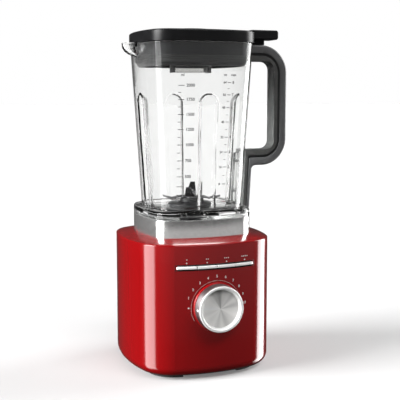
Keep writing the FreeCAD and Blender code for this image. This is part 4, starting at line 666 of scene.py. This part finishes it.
def make_dial():
    centre = (0.0, 0.0, DIAL)
    back, front = halo_high[1], halo_low[1]
    outer = halo_high[0]
    verts, faces = lathe([(20.0, back), (outer, back), (outer, front + 0.6), (outer - 0.2, front + 0.18),
                          (outer - 0.6, front), (20.0, front)], 128, "Y", centre)
    place("dial_halo", verts, faces, "halo_red", "base", ["halo_ring"])
    rear, tip = knob_high[1], knob_low[1]
    skirt = knob_high[0]
    profile = [(3.05, rear), (3.05, -111.5), (25.0, -111.5), (25.0, -112.8), (25.3, -113.4),
               (27.1, tip + 0.25)]
    profile += [(27.5, tip), (29.3, tip)]
    profile += [(r, y) for r, y in arc_points(29.4, tip + 1.1, 1.1, -90, 0, 5)]
    profile += [(30.5, tip + 3.4), (30.62, tip + 3.8), (skirt, rear - 0.4), (skirt - 0.3, rear),
                (skirt - 3.5, rear)]
    profile += [(skirt - 3.5, -108.5), (7.0, -108.5), (7.0, rear)]
    verts, faces = lathe(profile, 160, "Y", centre)
    place("knob_shell", verts, faces, "turned_knob", "knob", ["knob_body"], 28)
    verts, faces = lathe([(0.0, -111.5), (24.8, -111.5), (24.8, -112.5), (24.5, -112.75), (12.0, -112.93),
                          (0.0, -113.0)], 128, "Y", centre)
    place("knob_disc", verts, faces, "spun_disc", "knob", ["knob_face"])
    low, high = span("knob_pointer")
    contour = [(low[0], low[2]), (high[0], low[2]), (high[0], high[2]), (low[0], high[2])]
    count = 4
    verts = [(x, low[1], z) for x, z in contour] + [(x, high[1], z) for x, z in contour]
    faces = [(0, 1, 2, 3), (7, 6, 5, 4)] + [(k, count + k, count + (k + 1) % 4, (k + 1) % 4)
                                            for k in range(4)]
    piece = place("pointer_insert", verts, faces, "white_insert", "knob", ["knob_pointer"])
    modifier = piece.modifiers.new("bevel", "BEVEL")
    modifier.width = 0.3 * MM
    modifier.segments = 3
    apply_modifiers(piece)


# ------------------------------------------------------------------ jar


JAR_MARKS = [-26, -24] + [-22 + k for k in range(45)] + [24, 26]
SPOUT = [(423.5, 78.5, 6.0), (426.0, 87.0, 13.0), (430.0, 93.0, 17.0), (435.0, 96.3, 20.0),
         (441.7, 97.0, 22.0)]


def jar_half(level):
    return 63.6 + (level - FOOT_TOP) / (441.7 - FOOT_TOP) * 14.2


def spout_reach(y, level, inset):
    """How far the spout stands out along -X at a place across it; very small where there is none."""
    level -= inset if inset > 1 else 0.0
    if level <= SPOUT[0][0] - 4:
        return 0.0
    points = [(SPOUT[0][0] - 4, 71.0, 2.0)] + SPOUT
    tip, half = points[-1][1:]
    for one, two in zip(points, points[1:]):
        if one[0] <= level <= two[0]:
            share = (level - one[0]) / (two[0] - one[0])
            share_soft = share * share * (3 - 2 * share) if one[0] < SPOUT[0][0] else share
            tip = one[1] + (two[1] - one[1]) * share_soft
            half = one[2] + (two[2] - one[2]) * share_soft
    tip -= inset
    half = max(0.5, half - inset)
    root = jar_half(level) - 12.0
    y = abs(y)
    nose, knee = 0.3 * half, tip - 0.14 * half
    if y <= nose:
        return tip - (tip - knee) * (y / nose) ** 2
    if y >= half:
        return 0.0
    return knee + (root - knee) * (y - nose) / (half - nose)


def jar_ring(level, inset, inside):
    """The jar's section at a level: bowed sides with a flute in each, and the spout on the -X side."""
    half = jar_half(level)
    ring = outline((half, half, 30.0, 181.0), inset, level, JAR_MARKS, 16)
    side = len(JAR_MARKS) + 2
    turn = 15
    share = min(1.0, (level - 218.0) / (361.0 - 218.0))
    radius = 9.9 + 2.6 * share
    out = 1.9 + 1.6 * share
    over = level - 361.0
    radius += WALL if inside else 0.0
    radius += 0.0 if inside else inset
    if over > 0:
        radius = math.sqrt(radius * radius - over * over) if over < radius else 0.0
    made = list(ring)
    for k in range(4):
        first = k * (side + turn)
        axis, sign = ((0, 1), (1, 1), (0, -1), (1, -1))[k]
        for i in range(first, first + side):
            x, y, z = made[i]
            along = y if axis == 0 else x
            across = (x if axis == 0 else y) * sign
            if radius > abs(along):
                groove = half + out - math.sqrt(radius * radius - along * along)
                across = soft_min(across, groove, 0.9)
            if axis == 0 and sign < 0:
                reach = spout_reach(along, level, inset)
                if reach > across - 3:
                    across = soft_max(across, reach, 1.2)
            made[i] = (across * sign, y, z) if axis == 0 else (x, across * sign, z)
    return made


def make_jar():
    rows = []
    foot = COLLAR

    def foot_row(inset, level):
        rows.append(outline(foot, inset, level, JAR_MARKS, 16))

    foot_row(0.6, JAR_SEAT)
    foot_row(0.15, JAR_SEAT + 0.2)
    foot_row(0.0, JAR_SEAT + 0.7)
    for inset, level in [(4 - c, FOOT_TOP - 4 + s) for c, s in arc_points(0, 0, 4.0, 0, 90, 7)]:
        foot_row(inset, level)
    rows.append(jar_ring(FOOT_TOP, -1.6, False))
    rows.append(jar_ring(FOOT_TOP + 0.45, -0.5, False))
    levels = [FOOT_TOP + 1.6, 226, 234, 244, 256, 268, 280, 292, 304, 316, 328, 340, 350, 357]
    levels += [361 + k for k in range(17)] + [382, 390, 400, 410, 416, 419]
    levels += [420 + k for k in range(21)] + [440.9]
    for level in levels:
        rows.append(jar_ring(level, 0.0, False))
    rows.append(jar_ring(441.4, 0.2, False))
    top = jar_ring(JAR_RIM, 0.7, False)
    rows.append([(x, y, JAR_RIM) for x, y, _ in top])
    top = jar_ring(441.7, WALL - 0.7, True)
    rows.append([(x, y, JAR_RIM) for x, y, _ in top])
    rows.append(jar_ring(441.4, WALL - 0.2, True))
    for level in reversed([223.2] + levels[1:]):
        rows.append(jar_ring(level, WALL, True))
    rows.append(jar_ring(221.2, WALL + 0.9, True))
    floor_ring = jar_ring(220.3, WALL + 2.6, True)
    rows.append([(x, y, FLOOR) for x, y, _ in floor_ring])
    rows.append(to_circle(rows[-1], 40.0, FLOOR))
    rows.append(to_circle(rows[-1], 16.5, FLOOR))
    rows.append(to_circle(rows[-1], 16.5, 214.0))
    rows.append(to_circle(rows[-1], 40.0, 214.0))
    rows.append(outline(foot, 8.0, 214.0, JAR_MARKS, 16))
    rows.append(outline(foot, 7.0, 213.0, JAR_MARKS, 16))
    rows.append(outline(foot, 7.0, JAR_SEAT + 0.5, JAR_MARKS, 16))
    rows.append(outline(foot, 6.5, JAR_SEAT, JAR_MARKS, 16))
    verts, faces = loop_rings(rows)
    jar = place("jar_shell", verts, faces, "clear_copolyester", "jar", ["jar_body"])
    add_ons = []
    add_ons.append(box_mesh("foot_lobe", [(66, JAR_SEAT), (84.5, JAR_SEAT), (84.5, JAR_SEAT + 4.6),
                                          (66, JAR_SEAT + 4.6)],
                            10.0, 1.0))
    add_ons.append(box_mesh("bracket", [(62.5, 219.0), (74.4, 219.0), (77.9, 292.0), (66.5, 292.0)],
                            7.0, 1.2))
    add_ons.append(box_mesh("boss", [(72, 424), (90, 424), (90, 437), (72, 437)], 6.0, 1.2))
    for item in add_ons:
        modifier = jar.modifiers.new("join", "BOOLEAN")
        modifier.operation = "UNION"
        modifier.solver = "EXACT"
        modifier.object = item
    apply_modifiers(jar)
    for item in add_ons:
        bpy.data.objects.remove(item)
    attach(jar, "jar")


def box_mesh(name, contour, half_width, bevel):
    """A helper solid that is joined to a piece and then removed."""
    count = len(contour)
    verts = [(x, -half_width, z) for x, z in contour] + [(x, half_width, z) for x, z in contour]
    faces = [tuple(range(count)), tuple(range(2 * count - 1, count - 1, -1))]
    faces += [(k, count + k, count + (k + 1) % count, (k + 1) % count) for k in range(count)]
    mesh = bpy.data.meshes.new(name)
    mesh.from_pydata([(x * MM, y * MM, z * MM) for x, y, z in verts], [], faces)
    work = bmesh.new()
    work.from_mesh(mesh)
    bmesh.ops.recalc_face_normals(work, faces=work.faces)
    bmesh.ops.bevel(work, geom=work.edges[:], offset=bevel * MM, segments=3, profile=0.5, affect="EDGES")
    work.to_mesh(mesh)
    work.free()
    mesh.materials.append(materials["clear_copolyester"])
    piece = bpy.data.objects.new(name, mesh)
    scene.collection.objects.link(piece)
    return piece


def make_bearing_housing():
    profile = [(9.0, 201.2), (15.5, 201.2), (15.5, 221.6), (31.6, 221.6), (32.0, 222.0), (32.0, 223.0),
               (31.6, 223.8), (30.5, 224.4), (17.6, 225.2), (15.0, 227.0), (13.9, 230.4), (13.3, 231.0),
               (9.0, 231.0)]
    verts, faces = lathe(profile, 96)
    place("blade_seat", verts, faces, "black_plastic", "jar", ["bearing_housing"])


# ------------------------------------------------------------------ handle


def make_handle():
    cover = [(80.5, 442.0), (142.0, 442.0, 39.0), (142.0, 274.0, 37.0), (88.9, 274.0, 7.0), (85.3, 214.6),
             (80.4, 214.6), (84.2, 285.0, 3.0), (131.0, 285.0, 26.0), (131.0, 431.0, 28.0), (80.5, 431.0)]
    # outline of the dark strip of painted shade between grip and back
    band = [(80.5, 430.9), (130.9, 430.9, 27.9), (130.9, 285.1, 25.9), (84.1, 285.1, 3.0), (80.2, 214.6),
            (79.0, 214.6), (82.7, 288.5, 3.0), (127.5, 288.5, 22.4), (127.5, 427.5, 24.4), (80.5, 427.5)]
    grip = [(80.5, 427.4), (127.4, 427.4, 24.3), (127.4, 288.6, 22.3), (82.6, 288.6, 3.0), (78.9, 214.6),
            (74.8, 214.6), (78.6, 296.5), (122.0, 296.5, 12.0), (122.0, 419.5, 12.0), (80.5, 419.5)]

    def outside(x, z):
        far = x > 131.5 or z > 432.0 or (z < 284.0 and x > 85.6) or (x > 84.4 and z < 274)
        corner = x > 118 and (z > 428 or z < 288) and not inner_arc(x, z)
        return 1.0 if far or corner else 0.12

    def inner_arc(x, z):
        return (math.hypot(x - 103.0, z - 403.0) < 28.6 and z > 403) or \
            (math.hypot(x - 105.0, z - 311.0) < 26.6 and z < 311)

    def inside(x, z):
        return 1.0 if (x < 122.5 and 295.5 < z < 420.5 and x > 78) \
            or (x > 110 and math.hypot(x - 110, z - 407.5) < 12.5) \
            or (x > 110 and math.hypot(x - 110, z - 308.5) < 12.5) else 0.1

    slab("handle_back", rounded_path(cover, 20), 11.5, 3.0, outside, "grey_shell", "jar",
         ["handle_cover"])
    # painted shade: the strip between grip and back is made in the darkest black plastic, standing in for the
    # shadow in the gap between them; it is also set back 0.4 mm on each side, a real step
    slab("handle_shade_band", rounded_path(band, 20), 11.1, 0.4, lambda x, z: 0.4, "black_plastic", "jar",
         (), 2)
    slab("handle_grip", rounded_path(grip, 20), 11.5, 3.0, inside, "grip_black", "jar",
         ["handle_core"])


# ------------------------------------------------------------------ lid


def lid_ring(inset, level):
    return outline((78.0, 78.0, 30.0, 220.0), inset, level, SMALL_MARKS)


def skirt_ring(level, inset):
    half = jar_half(level)
    return outline((half, half, 30.0, 181.0), inset, level, SMALL_MARKS)


def make_lid():
    gap, end, wall = WALL + 3.6, WALL + 6.5, 3.0
    rows = [skirt_ring(SKIRT_END + 4, gap), skirt_ring(425, gap), skirt_ring(LID_UNDER, gap),
            lid_ring(0.5, LID_UNDER)]
    rows += [lid_ring(0.1, LID_UNDER + 0.2), lid_ring(0, LID_UNDER + 0.7), lid_ring(0, LID_TOP - 2.5)]
    rows += [lid_ring(2.5 - c, LID_TOP - 2.5 + s) for c, s in arc_points(0, 0, 2.5, 15, 90, 6)]
    rows.append(lid_ring(9.0, LID_TOP))
    template = rows[-1]
    for radius, level in ((32.0, 457.0), (31.6, 456.9), (26.6, 456.9), (26.1, 456.4), (26.1, COLLAR_END),
                          (28.5, COLLAR_END), (28.5, 453.0)):
        rows.append(to_circle(template, radius, level))
    rows += [skirt_ring(453, gap + wall), skirt_ring(SKIRT_END + 4, gap + wall),
             skirt_ring(SKIRT_END, end + wall)]
    rows += [skirt_ring(SKIRT_END, end)]
    verts, faces = loop_rings(rows)
    lid = place("lid_shell", verts, faces, "lid_plastic", "lid", ["lid_body"])
    window = box_mesh("cap_window", [(-CAP_WINDOW, COLLAR_END - 2), (CAP_WINDOW, COLLAR_END - 2),
                                     (CAP_WINDOW, SKIRT_END), (-CAP_WINDOW, SKIRT_END)], 40.0, 0.4)
    modifier = lid.modifiers.new("window", "BOOLEAN")
    modifier.operation = "DIFFERENCE"
    modifier.solver = "EXACT"
    modifier.object = window
    apply_modifiers(lid)
    bpy.data.objects.remove(window)
    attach(lid, "lid")
    tab = rounded_path([(66.0, 454.0), (86.0, 462.6, 14.0), (127.0, 462.6, 3.5), (127.0, 449.5, 3.5),
                        (84.0, 449.5, 6.0), (76.0, 442.6), (66.0, 442.6)], 10)
    slab("lid_tab", tab, 14.0, 1.8, lambda x, z: 1.0, "lid_plastic", "lid", (), 4)
    ribs = []
    for k in range(8):
        x = 92.0 + 2.0 * k
        ribs += [(x + 0.2, -7.2), (x + 0.5, -8.0), (x + 1.5, -8.0), (x + 1.8, -7.2)]
    contour = ribs + [(x, -y) for x, y in reversed(ribs)]
    count = len(contour)
    verts = [(x, y, 442.4) for x, y in contour] + [(x, y, 450.5) for x, y in contour]
    faces = [tuple(range(count)), tuple(range(2 * count - 1, count - 1, -1))]
    faces += [(k, count + k, count + (k + 1) % count, (k + 1) % count) for k in range(count)]
    place("lid_post", verts, faces, "lid_plastic", "lid")
    tongue = [(-81.5, 436.0), (-77.0, 436.0), (-77.0, 443.1), (-81.5, 443.1)]
    slab("lid_tongue", tongue, 7.0, 0.8, lambda x, z: 1.0, "lid_plastic", "lid", (), 3)
    make_seal(gap)


def make_seal(gap):
    """Three thin sealing lips on a sleeve round the skirt."""
    profile = [(0.02, 415.9)]
    for bottom in (417.6, 420.5, 423.4):
        profile += [(-0.8, bottom - 1.6), (-0.8, bottom), (-2.7, bottom - 0.1), (-3.1, bottom + 0.3),
                    (-3.1, bottom + 0.8), (-2.6, bottom + 1.2), (-0.8, bottom + 1.2)]
    profile += [(0.02, 424.6)]
    rows = [skirt_ring(level, gap + offset) for offset, level in profile]
    verts, faces = loop_rings(rows)
    place("seal_lips", verts, faces, "seal_rubber", "lid", ["lid_seal"])


def make_cap():
    top, bottom, radius = cap_high[2], cap_low[2], cap_high[0]
    profile = [(0.0, bottom), (radius - 0.4, bottom), (radius, bottom + 0.4)]
    profile += arc_points(radius - 1.4, top - 1.4, 1.4, 0, 90, 6)
    profile += [(radius - 5.0, top), (radius - 6.0, top - 0.35), (10.0, top - 0.6), (0.0, top - 0.6)]
    verts, faces = lathe(profile)
    place("cap_disc", verts, faces, "lid_plastic", "cap", ["lid_cap"])
    low, high, outer = cup_low[2], cup_high[2], cup_high[0]
    profile = [(0.0, high - 2.0), (outer - 2.7, high - 2.0), (outer - 2.2, high - 2.6),
               (outer - 3.0, low + 0.4),
               (outer - 2.6, low), (outer - 1.2, low), (outer - 0.8, low + 0.4), (outer, high - 0.5),
               (outer - 0.5, high), (0.0, high)]
    verts, faces = lathe(profile)
    place("cup_wall", verts, faces, "clear_cup_plastic", "cap", ["dosing_cup"])


# ------------------------------------------------------------------ printing


class Print:
    """Thin closed ink shapes gathered into one mesh, drawn flat in millimetres and laid on a wall."""

    def __init__(self):
        self.verts, self.faces = [], []

    def add(self, points, faces):
        first = len(self.verts)
        self.verts += points
        self.faces += [tuple(first + v for v in f) for f in faces]

    def bar(self, x0, z0, x1, z1, thick, steps=1):
        """A straight stroke from one place to another."""
        direction = Vector((x1 - x0, z1 - z0)).normalized()
        across = Vector((-direction.y, direction.x)) * thick / 2
        self.ribbon([(x0 + (x1 - x0) * k / steps, z0 + (z1 - z0) * k / steps, across)
                     for k in range(steps + 1)])

    def ribbon(self, path):
        points, faces = [], []
        for x, z, across in path:
            for sign in (-1, 1):
                for lift in (0.0, 1.0):
                    points.append((x + sign * across.x, lift, z + sign * across.y))
        for k in range(len(path) - 1):
            a, b = 4 * k, 4 * (k + 1)
            faces += [(a, a + 1, b + 1, b), (a + 1, a + 3, b + 3, b + 1), (a + 3, a + 2, b + 2, b + 3),
                      (a + 2, a, b, b + 2)]
        last = 4 * (len(path) - 1)
        faces += [(0, 2, 3, 1), (last, last + 1, last + 3, last + 2)]
        self.add(points, faces)

    def dot(self, cx, cz, radius, steps=20):
        points = []
        for lift in (0.0, 1.0):
            points += [(cx + radius * math.cos(2 * math.pi * k / steps), lift,
                        cz + radius * math.sin(2 * math.pi * k / steps)) for k in range(steps)]
        faces = [tuple(range(steps)), tuple(range(2 * steps - 1, steps - 1, -1))]
        faces += [(k, steps + k, steps + (k + 1) % steps, (k + 1) % steps) for k in range(steps)]
        self.add(points, faces)

    def words(self, text, cx, cz, tall, align="CENTER", weight=0.0):
        """Numbers and units in the built-in font; tall is the height of a capital."""
        curve = bpy.data.curves.new("letters", "FONT")
        curve.body = text
        curve.size = tall / 0.7
        curve.align_x = align
        curve.align_y = "CENTER"
        curve.resolution_u = 3
        curve.extrude = 0.5
        curve.offset = weight
        item = bpy.data.objects.new("letters", curve)
        scene.collection.objects.link(item)
        bpy.context.view_layer.update()
        graph = bpy.context.evaluated_depsgraph_get()
        mesh = bpy.data.meshes.new_from_object(item.evaluated_get(graph))
        points = [(cx + v.co.x, 0.5 + v.co.z, cz + v.co.y) for v in mesh.vertices]
        faces = [tuple(p.vertices) for p in mesh.polygons]
        self.add(points, faces)
        bpy.data.objects.remove(item)
        bpy.data.curves.remove(curve)
        bpy.data.meshes.remove(mesh)

    def lay(self, name, wall, thick, material, body):
        """wall(x, z) gives the Y of the surface; the ink stands out of it by its thickness."""
        verts = [(x, wall(x, z) + 0.03 - (thick + 0.03) * lift, z) for x, lift, z in self.verts]
        return place(name, verts, self.faces, material, body)


def make_panel_print():
    ink = Print()
    for key in range(4):
        for k in range(key + 1):
            ink.dot(-40.5 + 27 * key + 2.6 * (k - key / 2), 162.2, 0.75, 14)
    for k in range(1, 11):
        angle = math.radians(178 - 17.6 * k)
        ink.words(str(k), 40.6 * math.cos(angle), DIAL + 40.6 * math.sin(angle), 3.4, weight=0.06)
    for k in range(78):
        angle = math.radians(208 - 206 * k / 77)
        ink.dot(35.0 * math.cos(angle), DIAL + 35.0 * math.sin(angle), 0.36, 10)
    ink.dot(-38.2, DIAL + 0.5, 1.1)
    ink.lay("panel_printing", lambda x, z: front_wall(x), 0.06, "panel_ink", "base")


def jar_face(x, z):
    """Y of the jar's front wall, beside the flute."""
    return -jar_half(z) + 181.0 - math.sqrt(181.0 ** 2 - x * x)


def make_jar_print():
    ink = Print()
    marks = [("2000", 385.2), ("1750", 367.1), ("1500", 347.8), ("1250", 328.3), ("1000", 308.3),
             ("750", 287.5), ("500", 266.5), ("", 253.3), ("250", 242.0)]
    for words, level in marks:
        ink.bar(-41.7, level, -34.0, level, 0.8)
        if words:
            ink.words(words, -31.5, level, 3.9, "LEFT", 0.12)
    for (_, high), (_, low) in zip(marks, marks[1:7]):
        ink.bar(-41.7, (high + low) / 2, -38.0, (high + low) / 2, 0.7)
    ink.words("ml", -36.5, 398.5, 3.3, weight=0.07)
    column = [399, 389, 373, 356.3, 337.5, 317.5, 297.7, 277.9, 255.1]
    cups = ["cups", "8", "7", "6", "5", "4", "3", "2", "1"]
    ounces = ["oz", "64", "56", "48", "40", "32", "24", "16", "8"]
    for words, ounce, level in zip(cups, ounces, column):
        lean = 21.0 + (level - 255.1) / 143.9 * 5.0
        ink.words(ounce, lean - 4.2, level, 3.2, weight=0.1)
        if words == "cups":
            ink.words(words, lean + 8.2, level, 3.0, weight=0.1)
            continue
        ink.bar(lean, level, lean + 5.0, level, 0.8)
        ink.words(words, lean + 8.2, level, 3.6, weight=0.1)
    for high, low in zip(column[1:], column[2:]):
        level = (high + low) / 2
        lean = 21.0 + (level - 255.1) / 143.9 * 5.0
        ink.bar(lean, level, lean + 3.0, level, 0.6)
    ink.lay("jar_printing", jar_face, 0.06, "scale_ink", "jar")


# ------------------------------------------------------------------ studio


def make_floor():
    mesh = bpy.data.meshes.new("studio_floor")
    work = bmesh.new()
    bmesh.ops.create_grid(work, x_segments=24, y_segments=24, size=30.0)
    work.to_mesh(mesh)
    work.free()
    floor = bpy.data.objects.new("studio_floor", mesh)
    scene.collection.objects.link(floor)
    new_material("pale_floor", (0.53, 0.53, 0.53), 0.9, spread=0.01, colour_scale=3.0, grain=200.0, bump=0.01,
                 Specular_IOR_Level=0.0, Emission_Color=(1.0, 1.0, 1.0, 1.0), Emission_Strength=0.15)
    mesh.materials.append(materials["pale_floor"])
    floor.visible_glossy = False
    floor.visible_diffuse = False


class WorldMaths:
    """Short names for the nodes that shape the studio's light by direction."""

    def __init__(self, tree):
        self.nodes, self.links = tree.nodes, tree.links

    def feed(self, socket, value):
        if isinstance(value, (int, float)):
            socket.default_value = value
        else:
            self.links.new(value, socket)

    def maths(self, operation, one, two=0.0):
        item = self.nodes.new("ShaderNodeMath")
        item.operation = operation
        self.feed(item.inputs[0], one)
        self.feed(item.inputs[1], two)
        return item.outputs[0]

    def step(self, value, low, high, dark=0.0, bright=1.0):
        item = self.nodes.new("ShaderNodeMapRange")
        item.interpolation_type = "SMOOTHSTEP"
        self.feed(item.inputs["Value"], value)
        for key, number in (("From Min", low), ("From Max", high), ("To Min", dark), ("To Max", bright)):
            item.inputs[key].default_value = number
        return item.outputs["Result"]

    def band(self, angle, centre, half, soft, bright):
        away = self.maths("ABSOLUTE", self.maths("SUBTRACT", angle, math.radians(centre)))
        return self.step(away, math.radians(half + soft), math.radians(half - soft), 0.0, bright)


def make_studio():
    """A white backdrop, a tall softbox on each side, light from above and a dim room in front."""
    make_floor()
    world = bpy.data.worlds.new("studio")
    world.use_nodes = True
    tree = world.node_tree
    light = WorldMaths(tree)
    coords = tree.nodes.new("ShaderNodeTexCoord")
    split = tree.nodes.new("ShaderNodeSeparateXYZ")
    tree.links.new(coords.outputs["Generated"], split.inputs["Vector"])
    x, y, z = (split.outputs[k] for k in ("X", "Y", "Z"))
    angle = light.maths("ARCTAN2", x, light.maths("MULTIPLY", y, -1.0))
    left = light.band(angle, -90.0, 17.0, 4.0, LEFT_BOX)
    left = light.maths("MULTIPLY", left, light.step(z, 0.0, 0.3, 1.0, 3.0))
    right = light.band(angle, 93.0, 17.0, 3.0, RIGHT_BOX)
    boxes = light.maths("MULTIPLY", light.maths("ADD", left, right), light.step(z, -0.75, -0.5))
    boxes = light.maths("MULTIPLY", boxes, light.step(z, 0.7, 0.45))
    above = light.step(z, 0.45, 0.85, 0.0, TOP_LIGHT)
    behind = light.maths("MULTIPLY", light.step(y, 0.25, 0.9, 0.0, BACK_LIGHT), light.step(z, -0.02, 0.16))
    height = light.maths("ARCSINE", z)
    front = light.maths("MULTIPLY", light.band(angle, 18.0, 30.0, 6.0, FRONT_BOX),
                        light.band(height, 50.0, 8.0, 3.0, 1.0))
    total = light.maths("ADD", light.maths("ADD", boxes, above), light.maths("ADD", behind, ROOM_LIGHT))
    room = light.maths("MULTIPLY", light.step(z, -0.32, -0.14, 0.2, 1.0), light.step(z, 0.15, 0.0))
    room = light.maths("MULTIPLY", room, light.step(y, -0.2, -0.7, 0.0, FRONT_LIGHT))
    total = light.maths("ADD", light.maths("ADD", total, front), room)
    paths = tree.nodes.new("ShaderNodeLightPath")
    through = light.step(y, -0.5, 0.3, 0.4, 1.0)
    seen = light.maths("MAXIMUM", through, paths.outputs["Is Camera Ray"])
    clear = light.maths("MULTIPLY", paths.outputs["Is Transmission Ray"],
                        light.maths("LESS_THAN", paths.outputs["Diffuse Depth"], 0.5))
    turned = light.maths("MINIMUM", paths.outputs["Glossy Depth"], 1.0)
    seen = light.maths("MULTIPLY", seen, light.maths("SUBTRACT", 1.0, light.maths("MULTIPLY", turned, 0.55)))
    bent = light.maths("SUBTRACT", paths.outputs["Is Transmission Ray"], clear)
    total = light.maths("MULTIPLY", total, light.maths("SUBTRACT", 1.0, bent))
    direct = light.maths("MAXIMUM", paths.outputs["Is Camera Ray"], clear)
    mix = tree.nodes.new("ShaderNodeMix")
    tree.links.new(direct, mix.inputs["Factor"])
    tree.links.new(total, mix.inputs["A"])
    tree.links.new(seen, mix.inputs["B"])
    tree.links.new(mix.outputs["Result"], tree.nodes["Background"].inputs["Strength"])
    tree.nodes["Background"].inputs["Color"].default_value = (1.0, 1.0, 1.0, 1.0)
    scene.world = world


def main():
    make_camera()
    make_materials()
    dress_cad_nodes()
    make_housing()
    make_collar()
    make_bezel()
    for index in range(4):
        make_button(index)
    make_lamps()
    make_dial()
    make_jar()
    make_bearing_housing()
    make_handle()
    make_lid()
    make_cap()
    make_panel_print()
    make_jar_print()
    make_studio()
    bpy.context.view_layer.update()


main()
